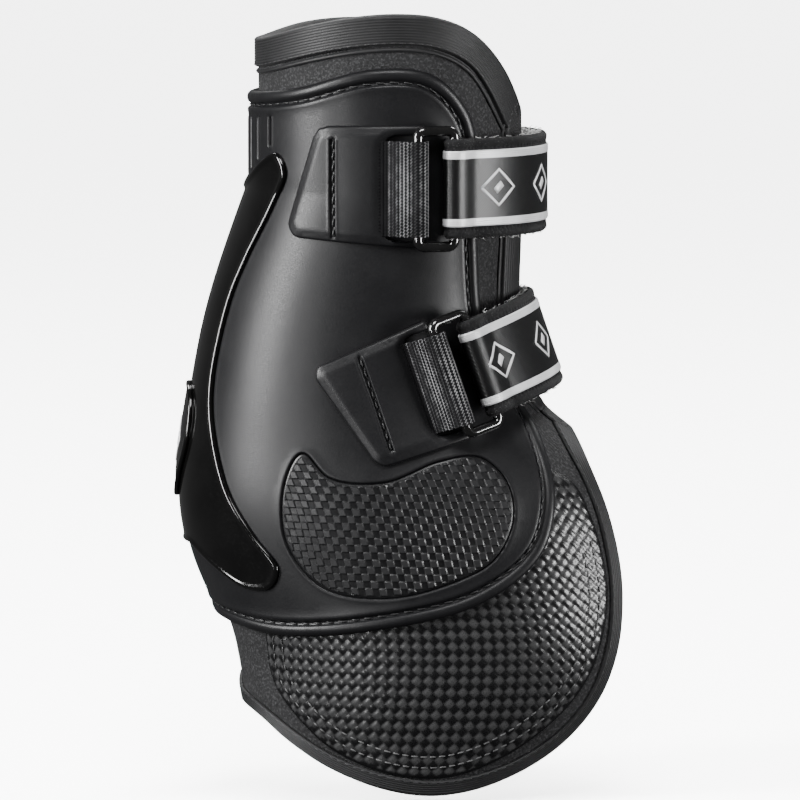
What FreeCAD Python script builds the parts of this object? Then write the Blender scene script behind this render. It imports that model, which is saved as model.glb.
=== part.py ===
# Hind fetlock boot: a closed-back leg boot with a moulded shell, a padded liner with a long
# rounded flap on the inner side, and two sprung straps that close across the open front.
#
# Frame: origin on the axis of the leg, level with the middle of the upper strap.
# +Z up the leg, +X towards the open front of the boot, -Y towards the inner wing with the flap.
# Every layer follows one cavity surface: a round neck above, and ellipses that swell over the
# ankle below. A layer is the space between two copies of that surface, grown by its distance.

import FreeCAD, Part
import math
import os
from FreeCAD import Placement, Rotation, Vector

doc = FreeCAD.newDocument("fetlock_boot")

# ---------------------------------------------------------------- driving dimensions
SIZES = {
    # cavity
    "neck_radius": 33.0,
    "neck_level": -2.0,
    "top_level": 60.0,
    # distances of the layers from the cavity
    "lining_inner": 0.0,
    "lining_outer": 1.2,
    "liner_outer": 5.0,
    "cover_outer": 6.0,
    "pocket_floor": 7.0,
    "shell_outer": 8.0,
    "inset_outer": 8.4,
    "spine_outer": 9.4,
    "elastic_outer": 9.6,
    "tab_outer": 10.0,
    "badge_outer": 10.4,
    # edges
    "side_reach": 100.0,
    "front_gap": 4.0,
    "edge_tape": 0.8,
    "collar_tape_width": 8.0,
    "hem_tape_width": 4.0,
    # straps, rings and elastics
    "webbing_width": 30.0,
    "ribbon_width": 22.0,
    "tape_thickness": 1.2,
    "ribbon_thickness": 0.5,
    "pile_thickness": 0.6,
    "ring_length": 36.5,
    "ring_width": 14.0,
    "wire_radius": 1.5,
    "wire_bend": 2.0,
    "wire_clearance": 0.2,
    "loop_thickness": 1.4,
    "elastic_gap": 0.6,
    "elastic_lift": 1.7,
    "strap_end": 88.0,
    "strap_lap": 5.0,
    "mouth_clearance": 0.3,
    "patch_clearance": 0.4,
}

# Stations of the cavity: level, reach to the back, reach to the front, half width.
STATIONS = {
    "neck": (SIZES["neck_level"], 33.0, 33.0, 33.0),
    "nape": (-16.0, 38.0, 33.0, 33.0),
    "waist": (-38.0, 44.8, 32.6, 33.2),
    "shin": (-52.0, 47.8, 34.0, 33.8),
    "crest": (-65.0, 50.0, 39.5, 35.0),
    "brow": (-76.0, 51.8, 53.0, 37.0),
    "swell": (-90.0, 52.8, 67.0, 39.5),
    "ankle": (-112.0, 49.0, 75.0, 40.5),
    "heel": (-132.0, 41.0, 75.0, 40.0),
    "cup": (-155.0, 36.5, 67.0, 36.5),
    "hem": (-182.0, 27.0, 48.0, 29.0),
}

# Each strap runs round a circle in its own plane. centre_x, centre_y and radius (of the inner
# face) place that circle, pitch tips the plane up towards the front, turn is where the ring
# sits, counted from the inner side towards the front.
STRAPS = {
    "upper": {"level": 0.0, "pitch": 0.0, "centre_x": 0.8, "centre_y": 0.0, "radius": 43.8,
              "turn": 17.2, "mouth": -0.9, "sewn": 16.0, "reach": 3.0},
    "lower": {"level": -61.2, "pitch": 19.0, "centre_x": 0.4, "centre_y": -1.0, "radius": 47.4,
              "turn": 29.0, "mouth": 9.4, "sewn": 15.0, "reach": 12.6},
}


def make_sheet():
    """The spreadsheet that every bound size comes from."""
    sheet = doc.addObject("Spreadsheet::Sheet", "dims")
    rows = dict(SIZES)
    for station, values in STATIONS.items():
        for what, value in zip(("level", "back", "front", "half"), values):
            rows[station + "_" + what] = value
    for strap, values in STRAPS.items():
        for what, value in values.items():
            rows[strap + "_" + what] = value
    for row, (alias, value) in enumerate(rows.items(), start=1):
        sheet.set("A%d" % row, alias)
        sheet.set("B%d" % row, str(value))
        sheet.setAlias("B%d" % row, alias)
    doc.recompute()
    return sheet


sheet = make_sheet()


def size(alias):
    """A driving dimension, read back from the sheet."""
    return float(sheet.get(alias))


# ---------------------------------------------------------------- small builders
def bind(thing, **expressions):
    """Bind properties of an object to expressions over the sheet."""
    for name, expression in expressions.items():
        thing.setExpression(name.replace("__", "."), expression)
    return thing


def cut(name, base, tool):
    result = doc.addObject("Part::Cut", name)
    result.Base = base
    result.Tool = tool
    return result


def common(name, *shapes):
    result = doc.addObject("Part::MultiCommon", name)
    result.Shapes = list(shapes)
    return result


def fuse(name, *shapes):
    result = doc.addObject("Part::MultiFuse", name)
    result.Shapes = list(shapes)
    return result


forms = {}


def form(edge):
    """The cavity surface grown by the distance called edge, as a solid: round neck and loft."""
    if edge in forms:
        return forms[edge]
    neck = doc.addObject("Part::Cylinder", "neck_" + edge)
    bind(neck, Radius="dims.neck_radius + dims." + edge,
         Height="dims.top_level - dims.neck_level",
         Placement__Base__z="dims.neck_level")
    rings = []
    for station in STATIONS:
        ring = doc.addObject("Part::Ellipse", station + "_" + edge)
        bind(ring,
             MajorRadius="(dims.%s_back + dims.%s_front) / 2 + dims.%s" % (station, station, edge),
             MinorRadius="dims.%s_half + dims.%s" % (station, edge),
             Placement__Base__x="(dims.%s_front - dims.%s_back) / 2" % (station, station),
             Placement__Base__z="dims.%s_level" % station)
        rings.append(ring)
    loft = doc.addObject("Part::Loft", "body_" + edge)
    loft.Sections = rings
    loft.Solid = True
    loft.Ruled = False
    forms[edge] = fuse("form_" + edge, neck, loft)
    return forms[edge]


layers = {}


def layer(inner, outer):
    """The space between two copies of the cavity surface."""
    if (inner, outer) not in layers:
        layers[inner, outer] = cut("layer_%s_%s" % (inner, outer), form(outer), form(inner))
    return layers[inner, outer]


FLAT_TO_SIDE = Rotation(Vector(1, 0, 0), 90)
FAR_BACK = -95.0


def strap_frame(strap):
    """Placement of a strap's own plane, tipped up towards the front."""
    return Placement(Vector(0, 0, size(strap + "_level")),
                     Rotation(Vector(0, 1, 0), -size(strap + "_pitch")))


def smooth(points, closed=False):
    curve = Part.BSplineCurve()
    curve.interpolate([Vector(across, up, 0) for across, up in points], PeriodicFlag=closed)
    return curve


def chain(points):
    """Straight lines through the points."""
    places = [Vector(across, up, 0) for across, up in points]
    return [Part.LineSegment(start, end) for start, end in zip(places, places[1:])]


def side_sketch(name, edges, frame=None):
    """A sketch in the side view: across is X and up is Z."""
    sketch = doc.addObject("Sketcher::SketchObject", name)
    sketch.addGeometry(edges, False)
    sketch.Placement = (frame or Placement()).multiply(Placement(Vector(), FLAT_TO_SIDE))
    return sketch


def open_back(points):
    """A smooth edge whose two ends run straight to a point behind the boot."""
    first = points[0]
    last = points[-1]
    return [smooth(points)] + chain([last, (FAR_BACK, last[1]), (FAR_BACK, first[1]), first])


def prism(name, sketch, side):
    """A side view outline pushed through the inner wing (side -1) or the outer wing (+1)."""
    result = doc.addObject("Part::Extrusion", name)
    result.Base = sketch
    result.DirMode = "Custom"
    result.Dir = Vector(0, side, 0)
    result.Solid = True
    return bind(result, LengthFwd="dims.side_reach")


def moved_edge(points, distance):
    """An outline's points moved outwards, square to the smooth edge through them."""
    curve = smooth(points)
    moved = []
    for across, up in points:
        tangent = curve.tangent(curve.parameter(Vector(across, up, 0)))[0]
        moved.append((across - tangent.y * distance, up + tangent.x * distance))
    return moved


def block(name, low, high, frame=None):
    """A box between two corners."""
    result = doc.addObject("Part::Box", name)
    result.Length = high[0] - low[0]
    result.Width = high[1] - low[1]
    result.Height = high[2] - low[2]
    result.Placement = (frame or Placement()).multiply(Placement(Vector(*low), Rotation()))
    return result


# ---------------------------------------------------------------- outlines in the side view
INNER_LINER = [(-37, 41.5), (-25, 45.4), (-11, 48.4), (3.5, 49.4), (15, 48.2), (24, 44.2),
               (31.5, 36), (36.3, 26), (39.5, 12), (40.5, -10), (40.3, -45), (43, -62),
               (52.8, -72.3), (58.6, -83.5), (63.2, -95), (66.6, -109), (67.6, -120),
               (66.4, -135), (61.5, -149), (52.8, -160.5), (41.2, -169), (26.7, -175),
               (12.2, -177), (-2, -175), (-17, -169.5), (-28.5, -162.5), (-38.5, -155),
               (-50, -150)]
OUTER_LINER = [(-37, 41.5), (-25, 44.5), (-10, 45.5), (6, 43.5), (20, 37.5), (30, 28),
               (36.5, 16), (40, 2), (40.5, -20), (40.3, -45), (43, -62), (51, -78), (53.5, -95),
               (51, -112), (43, -127), (28, -136), (8, -140), (-14, -142), (-33, -146.5),
               (-50, -150)]
INNER_SHELL = [(-41, 26), (-25, 28.7), (-5, 34.3), (12, 33), (21.5, 23), (24.7, 10),
               (24.5, -18), (26.5, -42), (34.2, -58.7), (43, -74), (47.2, -90), (43.5, -106.5),
               (27, -120), (-2, -128), (-31, -131), (-45, -128.5), (-55, -124.5)]
OUTER_SHELL = [(-41, 26), (-25, 28.2), (-8, 31), (8, 28.5), (18, 20), (22, 8), (22, -20),
               (24, -42), (31, -58), (38, -73), (40, -90), (36, -106), (22, -117.5),
               (-2, -123), (-28, -126), (-45, -126.5), (-55, -124.5)]
SPINE = [(-47, -13), (-42.5, -3), (-36, 7), (-32, 9.5), (-29.3, 4), (-33, -6), (-40.3, -21),
         (-45.5, -34), (-50.5, -57), (-50.5, -70), (-46, -89), (-38.5, -101.5), (-31.5, -111),
         (-34, -117), (-41, -117.5), (-50, -112), (-57, -106)]
WOVEN_INSET = [(-25, -77), (-17, -84), (-1, -85), (15, -79), (26.5, -78), (34.5, -85),
               (36.3, -96), (31, -107), (19.5, -113.5), (-1, -118.5), (-19.5, -115.5),
               (-29.5, -103), (-30, -86)]
FLAP_COVER = [(36, -76), (47.9, -82.7), (54.2, -87), (58.6, -95.7), (62.4, -108), (63.8, -119.5),
              (62.4, -131), (58.6, -142.5), (51.3, -152.8), (38.3, -163.5), (23.8, -170.5),
              (12.2, -172.5), (-2.3, -170.5), (-16.8, -164), (-27, -154.5), (-32.8, -146),
              (-34.8, -137), (-34, -127), (-2, -122), (27, -114), (38, -102)]
UPPER_TAB = [(-20.3, 18), (10.7, 18.3), (15, -18), (-27, -14.5), (-28.7, -11)]
LOWER_TAB = [(-16.1, 15.7), (17.6, 18.2), (18.8, -18.4), (-7.1, -17.8), (-9.4, -15.5),
             (-17.8, 12.6)]


def both_wings(name, inner_points, outer_points):
    inner = prism(name + "_inner", side_sketch(name + "_inner_edge", open_back(inner_points)), -1)
    outer = prism(name + "_outer", side_sketch(name + "_outer_edge", open_back(outer_points)), 1)
    return fuse(name + "_wings", inner, outer)


def front_slot(name, half_width):
    """The open front between the two wings."""
    return block(name, (10, -half_width, -200), (120, half_width, 100))


# ---------------------------------------------------------------- layers of the boot
parts = {}


def keep(node, thing):
    thing.Label = node
    parts[node] = thing
    return thing


def padded_layers():
    """The liner and the soft lining inside it, open at the front."""
    wings = both_wings("liner", INNER_LINER, OUTER_LINER)
    cloth = cut("liner_open", wings, front_slot("liner_slot", size("front_gap")))
    keep("neoprene_liner", common("liner_piece", layer("lining_outer", "liner_outer"), cloth))
    keep("inner_lining", common("lining_piece", layer("lining_inner", "lining_outer"), cloth))


def flap_cover():
    sketch = side_sketch("flap_cover_edge", [smooth(FLAP_COVER, closed=True)])
    inner = prism("flap_cover_side", sketch, -1)
    return keep("flap_cover", common("flap_cover_piece", layer("liner_outer", "cover_outer"), inner))


def woven_inset():
    sketch = side_sketch("woven_inset_edge", [smooth(WOVEN_INSET, closed=True)])
    inner = prism("woven_inset_side", sketch, -1)
    return keep("woven_inset",
                common("woven_inset_piece", layer("pocket_floor", "inset_outer"), inner))


def spine_insert():
    wings = both_wings("spine", SPINE, SPINE)
    return keep("spine_insert", common("spine_piece", layer("pocket_floor", "spine_outer"), wings))


def badge_plate():
    """A shield-shaped plate on the back of the spine."""
    sketch = doc.addObject("Sketcher::SketchObject", "badge_edge")
    shield = [(0, -59), (9, -62), (13, -71), (10.5, -82), (0, -93), (-10.5, -82), (-13, -71),
              (-9, -62)]
    sketch.addGeometry([smooth(shield, closed=True)], False)
    sketch.Placement = Placement(Vector(), Rotation(Vector(0, 1, 0), Vector(0, 0, 1),
                                                    Vector(1, 0, 0), "XYZ"))
    plate = doc.addObject("Part::Extrusion", "badge_block")
    plate.Base = sketch
    plate.DirMode = "Custom"
    plate.Dir = Vector(-1, 0, 0)
    plate.Solid = True
    bind(plate, LengthFwd="dims.side_reach")
    keep("badge_plate", common("badge_piece", layer("spine_outer", "badge_outer"), plate))


def outer_shell(*let_in):
    wings = both_wings("shell", INNER_SHELL, OUTER_SHELL)
    blank = common("shell_blank", layer("liner_outer", "shell_outer"), wings)
    keep("outer_shell", cut("shell_piece", blank, fuse("let_in_pieces", *let_in)))


def edge_bindings():
    """Tapes sewn round the edge of the liner: collar, open front, flap and outer hem."""
    wrap = layer("lining_inner", "cover_outer")
    for wing, side, points in (("inner", -1, INNER_LINER), ("outer", 1, OUTER_LINER)):
        grown_edge = open_back(moved_edge(points, size("edge_tape")))
        grown = prism(wing + "_grown", side_sketch(wing + "_grown_edge", grown_edge), side)
        room = cut(wing + "_room", grown,
                   front_slot(wing + "_tape_slot", size("front_gap") - size("edge_tape")))
        skin = common(wing + "_skin", wrap, room)
        bare = cut(wing + "_bare", skin, parts["neoprene_liner"])
        edging = cut(wing + "_edging", bare, parts["inner_lining"])
        for zone, width in (("collar", "collar_tape_width"), ("hem", "hem_tape_width")):
            inset_edge = open_back(moved_edge(points, -size(width)))
            inset = prism("%s_%s_inset" % (wing, zone),
                          side_sketch("%s_%s_inset_edge" % (wing, zone), inset_edge), side)
            reach = size("front_gap") + size(width)
            kept = cut("%s_%s_kept" % (wing, zone), inset,
                       front_slot("%s_%s_edge_slot" % (wing, zone), reach))
            cut("%s_%s_tape" % (wing, zone), edging, kept)
    above = (-100, -100, 20), (100, 100, 80)
    collar = [common(wing + "_collar_half", doc.getObject(wing + "_collar_tape"),
                     block(wing + "_collar_zone", *above)) for wing in ("inner", "outer")]
    keep("collar_binding", fuse("collar_binding_piece", *collar))
    zones = {
        "near_front_binding": ("inner", (0, -100, -66), (100, 0, 20)),
        "far_front_binding": ("outer", (0, 0, -66), (100, 100, 20)),
        "flap_binding": ("inner", (-100, -100, -200), (100, 0, -66)),
        "far_hem_binding": ("outer", (-100, 0, -200), (100, 100, -66)),
    }
    for node, (wing, low, high) in zones.items():
        keep(node, common(node + "_piece", doc.getObject(wing + "_hem_tape"),
                          block(node + "_zone", low, high)))


# ---------------------------------------------------------------- straps
def upright(name, strap, radius, across, along, height):
    """A cylinder standing in a strap's own frame, centred on the strap's plane."""
    result = doc.addObject("Part::Cylinder", name)
    result.Radius = radius
    result.Height = height
    result.Placement = strap_frame(strap).multiply(
        Placement(Vector(across, along, -height / 2), Rotation()))
    return result


def ring_places(strap):
    """Centre of the ring and of its two long bars, in the strap's own plane."""
    turn = math.radians(size(strap + "_turn"))
    lift = size(strap + "_radius") + size("pile_thickness") + size("tape_thickness") / 2
    half = size("ring_width") / 2 - size("wire_radius")
    away = math.sqrt(lift ** 2 - half ** 2)
    middle = Vector(size(strap + "_centre_x") + away * math.sin(turn),
                    size(strap + "_centre_y") - away * math.cos(turn), 0)
    along = Vector(math.cos(turn), math.sin(turn), 0)
    return middle, middle - along * half, middle + along * half


def wire_ring(strap):
    """A rounded rectangular ring of wire: a circle swept along straight bars and corner arcs."""
    middle, inner_bar, outer_bar = ring_places(strap)
    wire = size("wire_radius")
    half_width = size("ring_width") / 2 - wire
    half_length = size("ring_length") / 2 - wire
    bend = size("wire_bend")
    turn = size(strap + "_turn")
    corners = []
    for quarter in range(4):
        angle = math.radians(45 + 90 * quarter)
        sign_across = math.copysign(1, math.cos(angle))
        sign_up = math.copysign(1, math.sin(angle))
        centre = Vector(sign_across * (half_width - bend), sign_up * (half_length - bend), 0)
        start = math.radians(90 * quarter)
        spots = [centre + Vector(math.cos(start + math.radians(step)),
                                 math.sin(start + math.radians(step)), 0) * bend
                 for step in (0, 45, 90)]
        corners.append(spots)
    edges = []
    for quarter, spots in enumerate(corners):
        edges.append(Part.Arc(*spots).toShape())
        following = corners[(quarter + 1) % 4][0]
        edges.append(Part.LineSegment(spots[-1], following).toShape())
    path = Part.Wire(edges)
    start = corners[0][0]
    section = Part.Wire(Part.makeCircle(wire, start, Vector(0, 1, 0)))
    shape = path.makePipeShell([section], True, False, 2)
    ring = doc.addObject("Part::Feature", strap + "_ring_piece")
    ring.Shape = shape
    ring.Placement = strap_frame(strap).multiply(
        Placement(middle, Rotation(Vector(0, 0, 1), turn).multiply(FLAT_TO_SIDE)))
    keep(strap + "_ring", ring)


def strap_wedge(name, strap, start_angle, end_angle, height):
    """A sector of a strap's circle, from one angle to another counted from the front."""
    reach = size("side_reach")
    steps = 6
    centre = (size(strap + "_centre_x"), size(strap + "_centre_y"))
    corners = [centre]
    for step in range(steps + 1):
        angle = math.radians(start_angle + (end_angle - start_angle) * step / steps)
        corners.append((centre[0] + reach * math.cos(angle), centre[1] + reach * math.sin(angle)))
    corners.append(centre)
    sketch = doc.addObject("Sketcher::SketchObject", name + "_sector")
    sketch.addGeometry(chain(corners), False)
    sketch.Placement = strap_frame(strap).multiply(
        Placement(Vector(0, 0, -height / 2), Rotation()))
    sector = doc.addObject("Part::Extrusion", name + "_wedge")
    sector.Base = sketch
    sector.DirMode = "Custom"
    sector.Dir = strap_frame(strap).Rotation.multVec(Vector(0, 0, 1))
    sector.Solid = True
    sector.LengthFwd = height
    return sector


def strap_band(name, strap, inner, thickness, height, start_angle, end_angle):
    """A flat band bent round part of a strap's circle."""
    centre = size(strap + "_centre_x"), size(strap + "_centre_y")
    outside = upright(name + "_outside", strap, inner + thickness, *centre, height)
    inside = upright(name + "_inside", strap, inner, *centre, height + 2)
    sector = strap_wedge(name, strap, start_angle, end_angle, height + 4)
    return common(name + "_band", cut(name + "_tube", outside, inside), sector)


def strap_parts(strap):
    """Tape folded round the ring, printed ribbon on its face and loop pile on its back."""
    inner = size(strap + "_radius")
    pile = size("pile_thickness")
    tape = size("tape_thickness")
    width = size("webbing_width")
    middle, inner_bar, outer_bar = ring_places(strap)
    centre = Vector(size(strap + "_centre_x"), size(strap + "_centre_y"), 0)
    spoke = outer_bar - centre
    bar_angle = math.degrees(math.atan2(spoke.y, spoke.x))
    end_angle = size("strap_end")
    start_angle = bar_angle + size("strap_lap")
    eye = size("wire_radius") + size("wire_clearance")
    band = strap_band(strap + "_tape", strap, inner + pile, tape, width, bar_angle, end_angle)
    fold = upright(strap + "_fold", strap, eye + tape, outer_bar.x, outer_bar.y, width)
    hole = upright(strap + "_eye", strap, eye, outer_bar.x, outer_bar.y, width + 2)
    keep(strap + "_strap_tape", cut(strap + "_tape_piece",
                                    fuse(strap + "_tape_blank", band, fold), hole))
    keep(strap + "_strap_ribbon",
         strap_band(strap + "_ribbon", strap, inner + pile + tape, size("ribbon_thickness"),
                    size("ribbon_width"), start_angle, end_angle))
    keep(strap + "_strap_lining",
         strap_band(strap + "_lining", strap, inner, pile, width - 2, start_angle, end_angle))


def elastic_parts(strap):
    """The sewn elastic on the shell, and its end folded round the ring's inner bar."""
    frame = strap_frame(strap)
    mouth = size(strap + "_mouth")
    half = size("webbing_width") / 2
    reach = size(strap + "_reach")
    sewn = block(strap + "_elastic_zone", (mouth - size(strap + "_sewn"), -100, -half),
                 (reach, 0, half), frame)
    keep(strap + "_elastic",
         common(strap + "_elastic_piece", layer("shell_outer", "elastic_outer"), sewn))
    middle, bar, outer_bar = ring_places(strap)
    eye = size("wire_radius") + size("wire_clearance")
    ply = size("loop_thickness")
    start = Vector(reach + size("elastic_gap"), 0, 0)
    start.y = -max(shell_side(strap, start.x, up) for up in (-half, half))
    start.y -= size("elastic_lift")
    run = bar - start
    plank = doc.addObject("Part::Box", strap + "_loop_plank")
    plank.Length = run.Length
    plank.Width = 1.5 * ply
    plank.Height = 2 * half
    plank.Placement = frame.multiply(Placement(
        start, Rotation(Vector(0, 0, 1), math.degrees(math.atan2(run.y, run.x))))).multiply(
        Placement(Vector(0, -0.75 * ply, -half), Rotation()))
    fold = upright(strap + "_loop_fold", strap, eye + ply, bar.x, bar.y, 2 * half)
    hole = upright(strap + "_loop_eye", strap, eye, bar.x, bar.y, 2 * half + 2)
    keep(strap + "_elastic_loop", cut(strap + "_loop_piece",
                                      fuse(strap + "_loop_blank", plank, fold), hole))


def shell_side(strap, across, up):
    """Half width of the shell under a strap, at a place along and up from its middle line."""
    place = strap_frame(strap).multVec(Vector(across, 0, up))
    level = min(place.z, size("neck_level"))
    rows = list(STATIONS)
    for above, below in zip(rows, rows[1:]):
        top = size(above + "_level")
        bottom = size(below + "_level")
        if bottom <= level <= top:
            share = (top - level) / (top - bottom)
            back, front, half = [size(above + what) * (1 - share) + size(below + what) * share
                                 for what in ("_back", "_front", "_half")]
            grow = size("shell_outer")
            offset = place.x - (front - back) / 2
            return (half + grow) * math.sqrt(1 - (offset / ((front + back) / 2 + grow)) ** 2)
    raise ValueError("no station at this level")


def strap_tab(strap, corners):
    """The raised anchor on the shell, with a mouth that the elastic comes out of."""
    frame = strap_frame(strap)
    side = prism(strap + "_tab_side",
                 side_sketch(strap + "_tab_edge", chain(corners + corners[:1]), frame), -1)
    blank = common(strap + "_tab_blank", layer("shell_outer", "tab_outer"), side)
    half = size("webbing_width") / 2 + size("mouth_clearance")
    mouth = block(strap + "_tab_mouth", (size(strap + "_mouth"), -100, -half), (60, 0, half), frame)
    keep(strap + "_strap_tab",
         cut(strap + "_tab_piece", cut(strap + "_tab_open", blank, mouth),
             parts[strap + "_elastic"]))


def hook_patch(strap, low, high):
    """A hook pad on the outer wing, built up to meet the inside of the closed strap."""
    centre = size(strap + "_centre_x"), size(strap + "_centre_y")
    pad = upright(strap + "_pad", strap, size(strap + "_radius") - size("patch_clearance"),
                  *centre, 2 * size("webbing_width"))
    zone = block(strap + "_patch_zone", low, high, strap_frame(strap))
    keep(strap + "_hook_patch",
         cut(strap + "_patch_piece", common(strap + "_patch_blank", pad, zone),
             form("shell_outer")))


# ---------------------------------------------------------------- the whole boot
padded_layers()
outer_shell(flap_cover(), woven_inset(), spine_insert())
badge_plate()
edge_bindings()
for strap, corners in (("upper", UPPER_TAB), ("lower", LOWER_TAB)):
    elastic_parts(strap)
    strap_tab(strap, corners)
    wire_ring(strap)
    strap_parts(strap)
hook_patch("upper", (1, 0, -14), (19, 90, 14))
hook_patch("lower", (2, 0, -14), (22, 90, 14))

doc.recompute()
for thing in doc.Objects:
    if "Invalid" in thing.State or "Error" in thing.State:
        raise RuntimeError("%s did not build" % thing.Name)

os.makedirs("parts", exist_ok=True)
for node, thing in parts.items():
    shape = thing.Shape
    if shape.isNull() or not shape.isValid() or not shape.Solids:
        raise RuntimeError("%s is not a valid solid" % node)
    box = shape.optimalBoundingBox(False, False)
    print("%-20s solids %d volume %9.1f  x %6.1f %6.1f  y %6.1f %6.1f  z %6.1f %6.1f" % (
        node, len(shape.Solids), shape.Volume, box.XMin, box.XMax, box.YMin, box.YMax,
        box.ZMin, box.ZMax))
    shape.exportStep("parts/%s.step" % node)
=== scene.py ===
import math

import bpy
import numpy as np
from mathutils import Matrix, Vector
from mathutils.geometry import delaunay_2d_cdt


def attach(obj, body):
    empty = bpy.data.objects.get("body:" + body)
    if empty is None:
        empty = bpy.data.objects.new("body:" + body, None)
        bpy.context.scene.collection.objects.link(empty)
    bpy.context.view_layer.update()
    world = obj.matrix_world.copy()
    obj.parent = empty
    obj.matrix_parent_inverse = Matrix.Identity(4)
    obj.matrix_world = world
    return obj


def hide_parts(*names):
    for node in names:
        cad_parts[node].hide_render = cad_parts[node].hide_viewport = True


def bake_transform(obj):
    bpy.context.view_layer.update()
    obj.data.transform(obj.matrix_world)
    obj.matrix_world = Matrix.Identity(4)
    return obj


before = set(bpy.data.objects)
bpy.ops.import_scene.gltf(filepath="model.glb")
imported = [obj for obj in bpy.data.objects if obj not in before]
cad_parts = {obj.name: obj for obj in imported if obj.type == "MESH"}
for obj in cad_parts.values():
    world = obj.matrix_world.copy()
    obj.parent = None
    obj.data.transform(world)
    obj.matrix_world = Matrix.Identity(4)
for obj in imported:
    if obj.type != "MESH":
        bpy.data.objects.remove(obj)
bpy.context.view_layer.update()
MM = 0.001
chance = np.random.default_rng(11)

# ---------------------------------------------------------------- the cavity surface
# Stations of the cavity: level, reach to the back, reach to the front, half width.
STATIONS = np.array([
    (-2.0, 33.0, 33.0, 33.0), (-16.0, 38.0, 33.0, 33.0), (-38.0, 44.8, 32.6, 33.2),
    (-52.0, 47.8, 34.0, 33.8), (-65.0, 50.0, 39.5, 35.0), (-76.0, 51.8, 53.0, 37.0),
    (-90.0, 52.8, 67.0, 39.5), (-112.0, 49.0, 75.0, 40.5), (-132.0, 41.0, 75.0, 40.0),
    (-155.0, 36.5, 67.0, 36.5), (-182.0, 27.0, 48.0, 29.0)])
LINING_OUTER, LINER_OUTER, COVER_OUTER, SHELL_OUTER = 1.2, 5.0, 6.0, 8.0
FRONT_GAP = 4.0
BEHIND = -95.0                                    # an X behind the whole boot
STRIDE, EASING = 0.4, 0.1                         # of a line moved over the surface
SPINE_LINE, SIDE_LINE = math.pi, math.pi / 2      # turns where a flat pattern has its zero


def natural_spline(places, values, wanted):
    """Cubic spline with free ends through the stations."""
    count = len(places)
    gaps = np.diff(places)
    matrix = np.eye(count)
    right = np.zeros(count)
    for i in range(1, count - 1):
        matrix[i, i - 1:i + 2] = gaps[i - 1], 2 * (gaps[i - 1] + gaps[i]), gaps[i]
        right[i] = 6 * ((values[i + 1] - values[i]) / gaps[i]
                        - (values[i] - values[i - 1]) / gaps[i - 1])
    bends = np.linalg.solve(matrix, right)
    k = np.clip(np.searchsorted(places, wanted) - 1, 0, count - 2)
    t, gap = wanted - places[k], gaps[k]
    slope = (values[k + 1] - values[k]) / gap - gap * (2 * bends[k] + bends[k + 1]) / 6
    return values[k] + t * slope + t * t * bends[k] / 2 + t ** 3 * (bends[k + 1] - bends[k]) / (6 * gap)


DEPTHS = np.arange(-STATIONS[0, 0], -STATIONS[-1, 0] + 0.1, 0.25)
REACHES = [natural_spline(-STATIONS[:, 0], STATIONS[:, column], DEPTHS) for column in (1, 2, 3)]


def section(level):
    """Centre, half length and half width of the cavity at a level."""
    back, front, half = [np.interp(-np.asarray(level, float), DEPTHS, reach) for reach in REACHES]
    return (front - back) / 2, (front + back) / 2, half


def on_form(turn, level, grown):
    """Points on the cavity surface grown by a distance. turn is 0 at the open front, pi at the
    spine after the inner side, and 2 pi back at the front after the outer side."""
    centre, length, half = section(level)
    return np.stack([centre + (length + grown) * np.cos(turn),
                     -(half + grown) * np.sin(turn), np.asarray(level, float) + 0 * turn], -1)


GAUSS_PLACES, GAUSS_WEIGHTS = np.polynomial.legendre.leggauss(8)


def girth(turn, level, grown, zero):
    """Length round the leg from the zero line, which is the flat pattern's first coordinate."""
    length, half = section(level)[1:]
    total = 0.0
    for place, weight in zip(GAUSS_PLACES, GAUSS_WEIGHTS):
        at = zero + (turn - zero) * (place + 1) / 2
        total = total + weight * np.hypot((length + grown) * np.sin(at), (half + grown) * np.cos(at))
    return total * (turn - zero) / 2


def turn_of(along, level, grown, zero):
    """The turn at a length round the leg from the zero line."""
    length, half = section(level)[1:]
    turn = zero + along / ((length + half) / 2 + grown)
    for _ in range(6):
        speed = np.hypot((length + grown) * np.sin(turn), (half + grown) * np.cos(turn))
        turn = turn - (girth(turn, level, grown, zero) - along) / speed
    return turn


def flat_line(edge, grown, zero):
    """A line on the surface, laid out flat."""
    return np.stack([girth(*edge, grown, zero), edge[1]], -1)


def turn_at(across, level, side, grown):
    """The turn where the surface passes an X on the inner (-1) or outer (1) side, kept out of
    the open front."""
    centre, length, half = section(level)
    turn = np.arccos(np.clip((across - centre) / (length + grown), -1, 1))
    turn = np.maximum(turn, np.arcsin(FRONT_GAP / (half + grown)))
    return turn if side < 0 else 2 * math.pi - turn


def inward_step(turn, level, grown, distance):
    """Moves a closed line on the surface to its left by a distance along the surface."""
    def slope(turn_step, level_step):
        ahead = on_form(turn + turn_step, level + level_step, grown)
        behind = on_form(turn - turn_step, level - level_step, grown)
        return (ahead - behind) / (2 * (turn_step + level_step))

    along_turn, along_level = slope(0.002, 0), slope(0, 0.2)
    normal = np.cross(along_turn, along_level)
    normal /= np.linalg.norm(normal, axis=1, keepdims=True)
    places = on_form(turn, level, grown)
    tangent = np.roll(places, -1, 0) - np.roll(places, 1, 0)
    tangent /= np.maximum(np.linalg.norm(tangent, axis=1, keepdims=True), 1e-9)
    left = np.cross(normal, tangent) * np.reshape(distance, (-1, 1))
    tt = (along_turn ** 2).sum(1)
    ll = (along_level ** 2).sum(1)
    tl = (along_turn * along_level).sum(1)
    dt, dl = (left * along_turn).sum(1), (left * along_level).sum(1)
    area = tt * ll - tl ** 2
    return turn + (dt * ll - dl * tl) / area, level + (dl * tt - dt * tl) / area


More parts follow.
